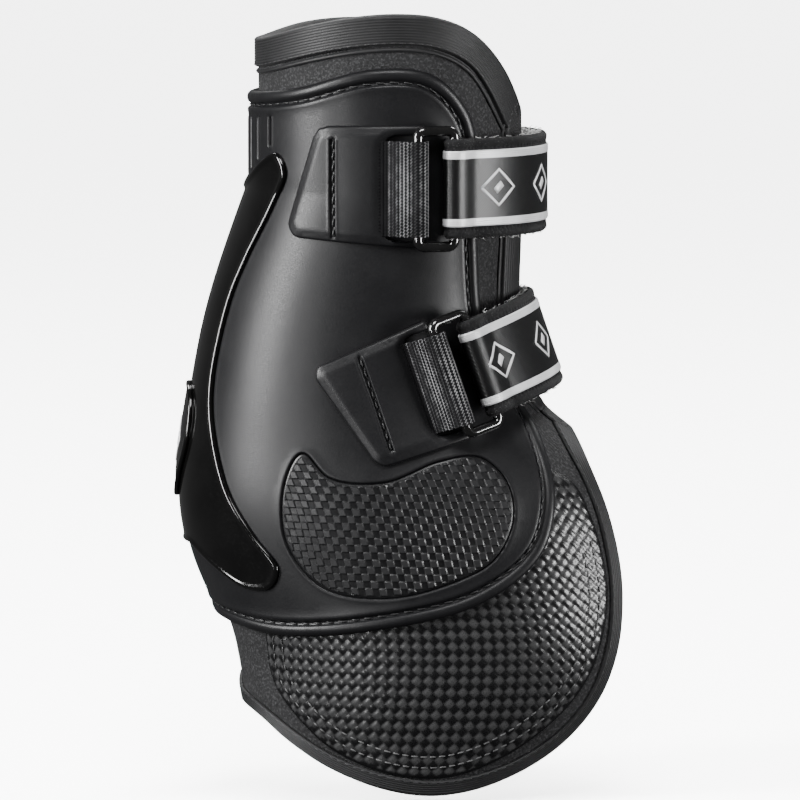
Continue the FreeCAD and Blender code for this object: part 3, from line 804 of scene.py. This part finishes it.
def flap():
    edge = inner_edge(smooth_line(FLAP_COVER, closed=True), LINER_OUTER, 0.9)
    profile = [(0, 5.0), (0, 5.4), (0.3, 5.6), (0.8, 5.6)]
    cover = panel("flap_weave", edge, LINER_OUTER, profile, 5.6, "boot", ["flap_cover"],
                  pitch=BASKET / 5, angle=math.pi / 4, height=basket_relief, tone=basket_painted_highlight,
                  zero=SIDE_LINE, slot="carbon_cloth", material=CARBON_LOOK)
    for name, inset_by in (("flap_stitches_outer", 3.6), ("flap_stitches_inner", 7.0)):
        turn, level = offset_line(*edge, LINER_OUTER, inset_by)
        shown = level < np.interp(turn, [0.4, 1.2, 2.0, 2.8], [-84.0, -122.0, -131.0, -131.0])
        start = int(np.argmax(shown & ~np.roll(shown, 1)))
        turn, level = np.roll(turn, -start), np.roll(level, -start)
        keep = int(np.argmin(np.roll(shown, -start))) or len(turn)
        turn, level = turn[:keep], level[:keep]
        stitches(name, turn, level, COVER_OUTER + 0.02, FLAP_ROW, "carbon_cloth", PALE_THREAD_LOOK)


# ---------------------------------------------------------------- bindings
COLLAR_LEVEL, FLAP_LEVEL = 20.0, -66.0            # where the tapes meet
TAPE_OUTER = 6.0


def tape_width(level):
    """Narrow round the flap, wide down the front, and in between over the collar."""
    return np.interp(level, [-94.0, -84.0, -74.0, -62.0, -48.0, 14.0, 40.0],
                     [4.0, 5.0, 8.0, 8.5, 14.5, 14.5, 8.0])


def binding(name, outline, chosen, ribs, depth, node, piping=False):
    """A tape folded over part of the liner's edge, with fine ribs along its outer face. Its
    profile is a list of (share of the width, inset beyond that share, grown distance)."""
    width = tape_width(outline[1])
    depth = depth * np.interp(outline[1], [38.0, 47.0], [1.0, 0.35])
    face = [(k / (ribs * 4), 0.3 - 0.8 * k / (ribs * 4), 6.2 + depth * math.cos(math.pi * k / 2))
            for k in range(ribs * 4 + 1)]
    fold = [(2.6, 0.1), (2.2, -0.25), (1.0, -0.35), (0.1, -0.3), (-0.5, 0.3), (-0.85, 1.4), (-0.95, 3.0),
            (-0.85, 4.7), (-0.5, 5.7), (-0.1, 6.1)]
    profile = [(0, inset, grown) for inset, grown in fold] + face
    profile += [(1, -0.2, 6.0), (1, 0, 5.6), (1, 0, 5.02)]
    if piping:
        profile += [(1, 0.7, 5.02), (1, 0.8, 5.5), (1, 1.3, 5.8), (1, 1.9, 5.5), (1, 2.0, 5.02)]
    profile += [(0.5, 0, 5.02), (0, 0.25, 4.9), (0, -0.05, 3.0), (0, 0.3, 1.3), (0, 1.5, 1.1)]
    order = sorted({(share * 10 + inset, share, inset) for share, inset, grown in profile})
    lines = {}
    for half in ([row for row in order if row[0] > 0], [row for row in order if row[0] <= 0][::-1]):
        at, line = 0.0, outline
        for share, inset in [row[1:] for row in half]:
            reach = share * width + inset
            line = offset_line(*line, LINER_OUTER, reach - at)
            at = reach
            lines[share, inset] = line
    rows = [on_form(*lines[share, inset], grown)[chosen] for share, inset, grown in profile]
    make_piece(name, *closed_bar(rows), "boot", [node], slot="binding", material=BINDING_LOOK)
    turn, level = offset_line(*outline, LINER_OUTER, width - 0.6)
    stitches(name + "_stitches", turn[chosen], level[chosen], TAPE_OUTER + 0.12, TAPE_ROW)


def bindings():
    outline = wing_edges(INNER_LINER, OUTER_LINER, LINER_OUTER, 1.1)
    turn, level = outline
    start = int(np.argmax((turn > math.pi) & (level < COLLAR_LEVEL - 4) & (level > FLAP_LEVEL + 30)))
    outline = turn, level = np.roll(turn, -start), np.roll(level, -start)
    inner = turn < math.pi
    front = (level < COLLAR_LEVEL) & (level > FLAP_LEVEL)
    zones = [
        ("collar_tape", level > COLLAR_LEVEL, 9, 0.17, "collar_binding", True),
        ("near_front_tape", inner & front, 9, 0.17, "near_front_binding", True),
        ("flap_tape", inner & (level < FLAP_LEVEL), 5, 0.12, "flap_binding", False),
        ("far_hem_tape", ~inner & (level < FLAP_LEVEL), 5, 0.12, "far_hem_binding", False),
        ("far_front_tape", ~inner & front, 9, 0.17, "far_front_binding", True),
    ]
    for name, zone, ribs, depth, node, piping in zones:
        spots = np.nonzero(zone)[0]
        breaks = np.nonzero(np.diff(spots) > 1)[0]
        if len(breaks):
            spots = np.concatenate([spots[breaks[0] + 1:], spots[:breaks[0] + 1]])
        spots = np.append(spots, (spots[-1] + 1) % len(turn))
        binding(name, outline, spots, ribs, depth, node, piping)


# ---------------------------------------------------------------- straps
# Each strap's level, tilt in degrees, and circle in its own plane, the turn at which the ring
# sits in degrees, and where the elastic comes out of the tab.
STRAPS = {
    "upper": {"level": 0.0, "pitch": 0.0, "centre": (0.8, 0.0), "radius": 43.8, "turn": 17.2,
              "mouth": -0.9},
    "lower": {"level": -61.2, "pitch": 19.0, "centre": (0.4, -1.0), "radius": 47.4, "turn": 29.0,
              "mouth": 9.4},
}
RIBBON, PILE, TAPE, RIBBON_PLY = 22.0, 0.6, 1.2, 0.5
RING_WIDTH, WIRE, WIRE_CLEARANCE, LOOP_PLY = 14.0, 1.5, 0.2, 1.4
STRAP_END = 88.0


def strap_places(strap, across, along, up):
    """Points in a strap's own frame, tipped and raised into the boot's frame."""
    pitch = math.radians(STRAPS[strap]["pitch"])
    across, along, up = np.broadcast_arrays(across, along, up)
    return np.stack([across * math.cos(pitch) - up * math.sin(pitch), along,
                     across * math.sin(pitch) + up * math.cos(pitch) + STRAPS[strap]["level"]], -1)


def ring_bars(strap):
    """The ring's inner and outer bars in the strap's own plane."""
    facts = STRAPS[strap]
    turn = math.radians(facts["turn"])
    lift = facts["radius"] + PILE + TAPE / 2
    half = RING_WIDTH / 2 - WIRE
    away = math.sqrt(lift ** 2 - half ** 2)
    middle = np.array(facts["centre"]) + away * np.array([math.sin(turn), -math.cos(turn)])
    along = np.array([math.cos(turn), math.sin(turn)])
    return middle - along * half, middle + along * half


def even_path(points, step):
    points = np.array(points)
    travel = travelled(points)
    wanted = np.linspace(0, travel[-1], max(int(travel[-1] / step), 4) + 1)
    return np.stack([np.interp(wanted, travel, points[:, k]) for k in (0, 1)], -1), wanted


def strap_path(strap, lift, tail):
    """The line of a strap's tape at a height over its middle, from the tail under the ring's
    outer bar, over the bar and round the front to the far end."""
    facts = STRAPS[strap]
    centre = np.array(facts["centre"])
    bar = ring_bars(strap)[1]
    spoke = bar - centre
    bar_angle = math.atan2(spoke[1], spoke[0])
    radius = facts["radius"] + PILE + TAPE / 2
    wrap = WIRE + WIRE_CLEARANCE + TAPE / 2
    points = []
    for angle in np.linspace(math.radians(STRAP_END), bar_angle + 0.01, 160):
        rise = eased(1 - (angle - bar_angle) / math.radians(9)) * wrap
        reach = radius + lift + rise
        points.append(centre + reach * np.array([math.cos(angle), math.sin(angle)]))
    out = spoke / np.linalg.norm(spoke)
    back = np.array([out[1], -out[0]])
    for angle in np.linspace(0.15, math.pi - 0.1, 14):
        points.append(bar + (wrap + lift) * (out * math.cos(angle) + back * math.sin(angle)))
    for angle in np.linspace(0, math.radians(tail), 14)[1:] if tail else []:
        sink = wrap - (wrap - 1.15) * eased(angle / math.radians(6))
        reach = radius - sink - lift
        points.append(centre + reach * np.array([math.cos(bar_angle + angle),
                                                 math.sin(bar_angle + angle)]))
    return points[::-1]


def band(name, strap, points, step, ups, top, bottom, body, relief=None, tone=None, bank=None,
         materials=(), split=None, **looks):
    """A band along a path: a closed strip whose top and bottom faces stand at heights over the
    path. ups are the places across its width; relief and tone take travel and place across."""
    path, travel = even_path(points, step)
    normal = path_normals(path)
    s, w = np.meshgrid(travel, ups, indexing="ij")
    lift = relief(s, w) if relief is not None else np.zeros_like(s)
    shades = tone(s, w) if tone is not None else np.zeros_like(s)
    sides = []
    for height in (top + lift, bottom + 0 * lift):
        at = path[:, None, :] + normal[:, None, :] * height[..., None]
        spots = strap_places(strap, at[..., 0], at[..., 1], w)
        sides.append(spots if bank is None else bank(spots, s, w, height))
    shades = np.concatenate([shades.ravel(), np.zeros(shades.size)])
    piece = make_piece(name, *slab(*sides), body, tone=shades, **looks)
    for material in materials:
        piece.data.materials.append(material)
    if split is not None:
        for polygon in piece.data.polygons:
            polygon.material_index = int(split(np.mean([shades[k] for k in polygon.vertices])))
    return piece, path, normal, travel


def wave(place, pitch):
    """A smooth wave between 0 and 1."""
    return np.cos(place / pitch * 2 * math.pi) * 0.5 + 0.5


def span(low, high, step):
    return np.linspace(low, high, max(int(round((high - low) / step)), 1) + 1)


STRIPE = 2.3
FELT_HALF = 14.4
ELASTIC_HALF = 13.8
WRAP_LENGTH = 6.5
EDGE_STITCH = 1.7
MARK_DEGREES = (-44, -15, 14, 43, 72)             # turns of the marks round the strap's circle


def felt_relief(travel, across):
    """Rounded edges, and a row of spot stitches that pulls the felt down beside the ribbon."""
    reach = abs(across)
    edge = 0.45 * eased((reach - FELT_HALF + 0.9) / 0.9) ** 2
    spot = wave(travel, EDGE_STITCH)
    row = np.exp(-((reach - RIBBON / 2 - 0.7) / 0.35) ** 2)
    puff = 0.22 * np.exp(-((reach - RIBBON / 2 - 2.1) / 0.9) ** 2)
    return puff - edge - 0.34 * row * spot


def ribbon_relief(travel, across):
    reach = abs(across)
    stripe = eased((reach - RIBBON / 2 + STRIPE) / 0.2)
    rows = 0.05 * np.cos(across / 0.55 * 2 * math.pi)
    rim = 0.25 * eased((reach - RIBBON / 2 + 0.3) / 0.3)
    return 0.1 * stripe + rows * stripe - rim


def ribbon_tone(travel, across):
    return np.where(abs(across) > RIBBON / 2 - STRIPE, 1.0, 0.0)


def emblems(strap, path, normal, travel, height, places_along):
    """Raised woven marks on the ribbon."""
    parts = []
    for middle in places_along:
        for line, width in emblem_shape():
            spots, rows = mark_rows(line, width)
            places = []
            for k, lift in enumerate(rows):
                s = middle + spots[k, :, 0]
                at = np.stack([np.interp(s, travel, path[:, i]) for i in (0, 1)], -1)
                out = np.stack([np.interp(s, travel, normal[:, i]) for i in (0, 1)], -1)
                at = at + out * (height + lift)
                places.append(strap_places(strap, at[:, 0], at[:, 1], spots[k, :, 1]))
            parts.append(closed_bar(places))
    return gather(parts)


PILE_PITCH = 1.5
THREAD_SECTION = ((-0.16, 0.0), (0.08, 0.15), (0.08, -0.15))


def pile_loops(strap, radius, start, end, half):
    """Curly loops of thread standing on the inner face of a strap."""
    centre = np.array(STRAPS[strap]["centre"])
    parts = []
    for i in range(int((end - start) * radius / PILE_PITCH)):
        for up in np.arange(-half, half + 0.1, PILE_PITCH):
            angle = start + (i + chance.uniform(0.1, 0.9)) * PILE_PITCH / radius
            up = up + chance.uniform(-0.6, 0.6)
            swing = chance.uniform(0, math.pi)
            tall, wide = chance.uniform(0.8, 1.3), chance.uniform(0.5, 0.9)
            rings = []
            for turn in np.arange(6) * math.pi / 5:
                shift = wide * math.cos(turn)
                ring = []
                for side, rise in THREAD_SECTION:
                    reach = radius + 0.15 - tall * math.sin(turn) + side
                    spot = angle + (shift * math.cos(swing) + rise * math.sin(swing)) / radius
                    at = centre + reach * np.array([math.cos(spot), math.sin(spot)])
                    ring.append(strap_places(strap, *at, up + shift * math.sin(swing)
                                             + rise * math.cos(swing)))
                rings.append(ring)
            parts.append(tube(rings))
    return gather(parts)


def strap(which):
    """Felt tape, ribbon with stripes and marks, and the pile on the inner face."""
    body = which + "_strap"
    facts = STRAPS[which]
    centre = np.array(facts["centre"])
    spoke = ring_bars(which)[1] - centre
    bar_angle = math.atan2(spoke[1], spoke[0])
    side = np.concatenate([[5.0, 9.0], span(11.2, 12.1, 0.3), span(12.4, 13.0, 0.3),
                           span(13.4, FELT_HALF, 0.25)])
    ups = np.concatenate([-side[::-1], [0.0], side])
    band(which + "_strap_felt", which, strap_path(which, 0.0, 8.0), EDGE_STITCH / 4, ups, TAPE / 2,
         -TAPE / 2, body, felt_relief, nodes=[which + "_strap_tape"], slot="tape", material=FELT_LOOK)
    inner = RIBBON / 2 - STRIPE
    side = np.concatenate([[inner + 0.01], span(inner + 0.2, 10.5, 0.14), [10.7, 10.85, 11.0]])
    ups = np.concatenate([-side[::-1], span(-inner + 0.05, inner - 0.05, 2.6), side])
    piece, path, normal, travel = band(
        which + "_strap_face", which, strap_path(which, TAPE / 2, 0), 1.2, ups, RIBBON_PLY, 0.0, body,
        ribbon_relief, ribbon_tone, nodes=[which + "_strap_ribbon"], slot="ribbon",
        material=SATIN_LOOK, materials=[SILVER_LOOK], split=lambda shade: shade > 0.3)
    ends = [bar_angle, math.radians(STRAP_END)], [WRAP_LENGTH, travel[-1]]
    marks = [np.interp(math.radians(degrees), *ends) for degrees in MARK_DEGREES]
    make_piece(which + "_strap_marks", *emblems(which, path, normal, travel, RIBBON_PLY, marks),
               body, slot="ribbon", material=SILVER_LOOK)
    start = bar_angle + math.radians(9.5)
    radius = facts["radius"] + PILE / 2
    backing = [centre + radius * np.array([math.cos(angle), math.sin(angle)])
               for angle in np.linspace(start, math.radians(STRAP_END), 120)]
    band(which + "_strap_backing", which, backing, 1.5, span(-14, 14, 2.0), PILE / 2, 0.05, body,
         nodes=[which + "_strap_lining"], slot="pile", material=PILE_LOOK)
    make_piece(which + "_strap_pile",
               *pile_loops(which, radius, start, math.radians(STRAP_END - 1), 14.3),
               body, slot="pile", material=PILE_LOOK)


# ---------------------------------------------------------------- elastics, tabs, hook pads
COLUMN, LOOP = 1.2, 0.95
# Painted shade: the elastic's loops stay dark up to this far along it, just past the tab's mouth.
ELASTIC_MOUTH_SHADE = 9.6


def knit(travel, across):
    """How near each place is to the middle of its column, and of its loop in that column."""
    shift = np.floor(travel / COLUMN) % 2 * 0.5
    return wave(travel, COLUMN), wave(across / LOOP + shift, 1)


def knit_relief(travel, across):
    column, loop = knit(travel, across)
    return 0.22 * column * (0.3 + 0.7 * loop)


# Painted light: the loop crests take a lighter colour as a painted highlight, stronger in some places
# along the elastic than others. It fades in just past the tab's mouth, leaving painted shade there.
def knit_painted_light(travel, across):
    column, loop = knit(travel, across)
    patchy = 0.55 + 0.45 * np.sin(travel * 0.9 + 0.4 * np.sin(across * 1.3))
    return eased((column * loop - 0.42) / 0.25) * eased((travel - ELASTIC_MOUTH_SHADE) / 1.5) * patchy


def shell_side(which, across, up, grown):
    """How far out the shell's surface lies under places in a strap's own plane."""
    at = strap_places(which, across, 0.0, up)
    centre, length, half = section(at[..., 2])
    return (half + grown) * np.sqrt(np.maximum(1 - ((at[..., 0] - centre) / (length + grown)) ** 2, 0))


def elastic(which):
    """Knitted elastic from under the tab, over the shell and round the ring's inner bar."""
    facts = STRAPS[which]
    bar = ring_bars(which)[0]
    wrap = WIRE + WIRE_CLEARANCE + LOOP_PLY / 2
    start = facts["mouth"] - 9.0
    middle_side = shell_side(which, np.array([facts["mouth"]]), np.array([0.0]), SHELL_OUTER)[0] + 0.9
    points = [np.array([across, -middle_side]) for across in (start, facts["mouth"])]
    run = bar - points[-1]
    run /= np.linalg.norm(run)
    out = np.array([run[1], -run[0]])
    for angle in np.linspace(-0.15, math.pi + 0.2, 18):
        points.append(bar + wrap * (out * math.cos(angle) + run * math.sin(angle)))
    points.append(bar - out * (wrap - 0.4) - run * 2.6)
    line, travel = even_path(points, 0.3)

    def lie(spots, s, w, height):
        """Lets the sewn stretch follow the shell."""
        share = eased((s - (facts["mouth"] - start) + 0.5) / 5.0)
        side = shell_side(which, spots[..., 0] * 0 + np.interp(s, travel, line[:, 0]), w, SHELL_OUTER)
        laid = spots.copy()
        laid[..., 1] = -side - 0.9 - height
        return laid * (1 - share)[..., None] + spots * share[..., None]

    ups = span(-ELASTIC_HALF, ELASTIC_HALF, 0.24)
    piece = band(which + "_elastic_knit", which, points, 0.3, ups, 0.55, -0.6, None, knit_relief,
                 knit_painted_light, lie, slot="elastic", material=ELASTIC_LOOK)[0]
    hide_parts(which + "_elastic", which + "_elastic_loop")
    low = strap_places(which, facts["mouth"], -middle_side, 0.0) * MM
    high_at = bar - run * 3.0
    high = strap_places(which, high_at[0], high_at[1], 0.0) * MM
    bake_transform(piece)


TABS = {
    "upper": [(-20.3, 18), (10.7, 18.3), (11.1, 15.3), (-0.9, 15.3), (-0.9, -15.3), (14.7, -15.3),
              (15, -18), (-27, -14.5), (-28.7, -11)],
    "lower": [(-16.1, 15.7), (9.4, 17.5), (17.6, 18.2), (17.7, 15.3), (9.4, 15.3), (9.4, -15.3),
              (18.7, -15.3), (18.8, -18.4), (-7.1, -17.8), (-9.4, -15.5), (-17.8, 12.6)],
}
TAB_STITCH = {"upper": -15.4, "lower": -3.7}
TAB_CORNER, TAB_BEVEL, TAB_FACE = 3.4, 2.4, 9.35


def tab(which):
    """The raised anchor on the shell, open where the elastic comes out, with a sewn slot."""
    corners = []
    outline = [np.array(p, float) for p in TABS[which]]
    for a, b, c in zip(outline[-1:] + outline[:-1], outline, outline[1:] + outline[:1]):
        ease = min(TAB_CORNER, np.linalg.norm(a - b) / 3, np.linalg.norm(c - b) / 3)
        first = b + (a - b) / np.linalg.norm(a - b) * ease
        last = b + (c - b) / np.linalg.norm(c - b) * ease
        corners += [first, (first + 2 * b + last) / 4, last]
    line = straight_line(corners, 12)
    placed = strap_places(which, line[:, 0], 0.0, line[:, 1])
    edge = inner_edge(placed[:, [0, 2]], SHELL_OUTER, 0.55)
    profile = [(0, 7.8), (0, 8.6), (0.15, 8.95), (0.4, 9.2), (0.7, TAB_FACE)]
    outline = flat_line(edge, SHELL_OUTER, SIDE_LINE)
    spots = strap_places(which, TAB_STITCH[which], 0.0, np.linspace(14.0, -14.0, 80))
    turn, level = turn_at(spots[:, 0], spots[:, 2], -1, SHELL_OUTER), spots[:, 2]
    slot_line = flat_line((turn, level), SHELL_OUTER, SIDE_LINE)

    def relief(points):
        gap = np.sqrt(squared_gaps(points, slot_line))
        crown = 0.65 * eased((np.sqrt(squared_gaps(points, outline)) - 0.7) / TAB_BEVEL)
        return crown - 0.8 * eased((0.85 - gap) / 0.4) + 0.14 * eased(1 - abs(gap - 1.15) / 0.45)

    side = np.gradient(slot_line, axis=0)
    side = np.stack([-side[:, 1], side[:, 0]], -1) / np.linalg.norm(side, axis=1, keepdims=True)
    extra = np.concatenate([slot_line[::2] + side[::2] * sign * reach for sign in (-1, 1)
                            for reach in (0.01, 0.4, 0.6, 0.82, 1.1, 1.5, 2.0)])
    panel(which + "_tab", edge, SHELL_OUTER, profile, TAB_FACE, "boot", [which + "_strap_tab"],
          pitch=0.8, height=relief, extra=extra, zero=SIDE_LINE, slot="shell", material=SHELL_LOOK)
    stitches(which + "_tab_stitches", turn, level, TAB_FACE, TAB_ROW)


PADS = {"upper": (1.0, 19.0), "lower": (2.0, 22.0)}


def hook_pad(which):
    """A pad of hooks on the outer wing, built up from the shell to the inside of the strap."""
    facts = STRAPS[which]
    low, high = PADS[which]
    x, w = np.meshgrid(span(low, high, 0.45), span(-14, 14, 0.45), indexing="ij")
    radius = facts["radius"] - 0.6
    outer = facts["centre"][1] + np.sqrt(radius ** 2 - (x - facts["centre"][0]) ** 2)
    bumps = 0.3 * eased(np.cos(x / 0.9 * 2 * math.pi) * np.cos(w / 0.9 * 2 * math.pi) * 1.4)
    inner = shell_side(which, x, w, SHELL_OUTER - 0.3)
    outer = np.maximum(outer + bumps - 0.15, inner + 0.8)
    count, wide = x.shape
    places = np.concatenate([strap_places(which, x, outer, w).reshape(-1, 3),
                             strap_places(which, x, inner, w).reshape(-1, 3)])
    number = np.arange(count * wide).reshape(count, wide)
    under = number + count * wide
    faces = []
    for i in range(count - 1):
        for j in range(wide - 1):
            faces.append((number[i, j], number[i, j + 1], number[i + 1, j + 1], number[i + 1, j]))
            faces.append((under[i, j], under[i + 1, j], under[i + 1, j + 1], under[i, j + 1]))
    rim = ([(i, 0) for i in range(count)] + [(count - 1, j) for j in range(1, wide)]
           + [(i, wide - 1) for i in range(count - 2, -1, -1)]
           + [(0, j) for j in range(wide - 2, 0, -1)])
    strip(faces, [under[spot] for spot in rim], [number[spot] for spot in rim], True)
    make_piece(which + "_hook_pad", places, faces, "boot", [which + "_hook_patch"], slot="hook",
               material=HOOK_LOOK)


# ---------------------------------------------------------------- the whole boot
for build in (shell, spine, badge, badge_mark, inset, liner, lining, flap, bindings):
    build()
for which in STRAPS:
    for build in (strap, elastic, tab, hook_pad):
        build(which)
    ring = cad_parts[which + "_ring"]
    ring.data.materials.clear()
    ring.data.materials.append(RING_LOOK)


# ---------------------------------------------------------------- floor, lights and camera
AIM = Vector((3.5, 0.0, -64.9)) * MM
VIEW_WIDTH, DISTANCE, ELEVATION = 0.2355, 2.6, 5.0
FLOOR_LEVEL = -179.2
STAGE = [(0, 0), (9000, 0), (10300, 300), (11400, 1200), (12000, 3000), (12000, 12000)]
STAGE_SIDES = 96


def floor():
    """A pale floor that curves up into a wall all round. It glows a little and casts no light
    on the boot."""
    places, faces = [], []
    for row, (reach, rise) in enumerate(STAGE):
        for angle in np.arange(STAGE_SIDES) * 2 * math.pi / STAGE_SIDES:
            places.append((reach * math.cos(angle), reach * math.sin(angle), FLOOR_LEVEL + rise))
        if row:
            ring = list(range((row - 1) * STAGE_SIDES, row * STAGE_SIDES))
            strip(faces, ring, [k + STAGE_SIDES for k in ring], True)
    paint = bpy.data.materials.new("pale_floor")
    paint.use_nodes = True
    shader = paint.node_tree.nodes["Principled BSDF"]
    shader.inputs["Base Color"].default_value = (0.86, 0.86, 0.86, 1)
    shader.inputs["Roughness"].default_value = 0.9
    shader.inputs["Emission Color"].default_value = (1, 1, 1, 1)
    shader.inputs["Emission Strength"].default_value = 2.6
    plane = make_piece("floor", places, faces, None, material=paint)
    plane.visible_glossy = False
    plane.visible_diffuse = False
    plane.visible_shadow = False


# Name, place in metres, width, height and power.
LIGHTS = [("left_strip", (-1.15, -0.5, 0.3), 0.35, 0.8, 58),
          ("right_strip", (1.2, -0.5, -0.05), 0.3, 0.5, 30),
          ("low_left", (-0.9, -1.1, -0.2), 0.12, 0.35, 7),
          ("top", (0.0, -0.9, 1.2), 0.7, 0.5, 30),
          ("back_left", (-0.5, 1.0, 1.25), 0.4, 0.6, 20),
          ("back_right", (0.8, 0.9, 1.2), 0.5, 0.5, 16)]


def set_up(data, place):
    """A lamp or camera at a place, turned to the boot."""
    thing = bpy.data.objects.new(data.name, data)
    thing.location = place
    thing.rotation_euler = (AIM - Vector(place)).to_track_quat("-Z", "Y").to_euler()
    bpy.context.scene.collection.objects.link(thing)
    return thing


def soft_light(name, place, width, height, power):
    lamp = bpy.data.lights.new(name, "AREA")
    lamp.shape = "RECTANGLE"
    lamp.size = width
    lamp.size_y = height
    lamp.energy = power
    set_up(lamp, place)


def high_sun():
    """Even light straight down on the floor."""
    lamp = bpy.data.lights.new("high_sun", "SUN")
    lamp.energy = 10.0
    lamp.angle = 0.5
    light = set_up(lamp, AIM + Vector((0, 0, 1)))
    only_floor = bpy.data.collections.new("only_floor")
    only_floor.objects.link(bpy.data.objects["floor"])
    light.light_linking.receiver_collection = only_floor


def camera():
    rise = math.radians(ELEVATION)
    data = bpy.data.cameras.new("camera")
    data.lens = data.sensor_width * DISTANCE / VIEW_WIDTH
    place = AIM + Vector((0, -math.cos(rise), math.sin(rise))) * DISTANCE
    bpy.context.scene.camera = set_up(data, place)


floor()
for light in LIGHTS:
    soft_light(*light)
high_sun()
camera()
world = bpy.data.worlds.new("studio")
world.use_nodes = True
sky = world.node_tree.nodes["Background"]
sky.inputs["Color"].default_value = (0.95, 0.95, 0.95, 1)
sky.inputs["Strength"].default_value = 0.12
bpy.context.scene.world = world
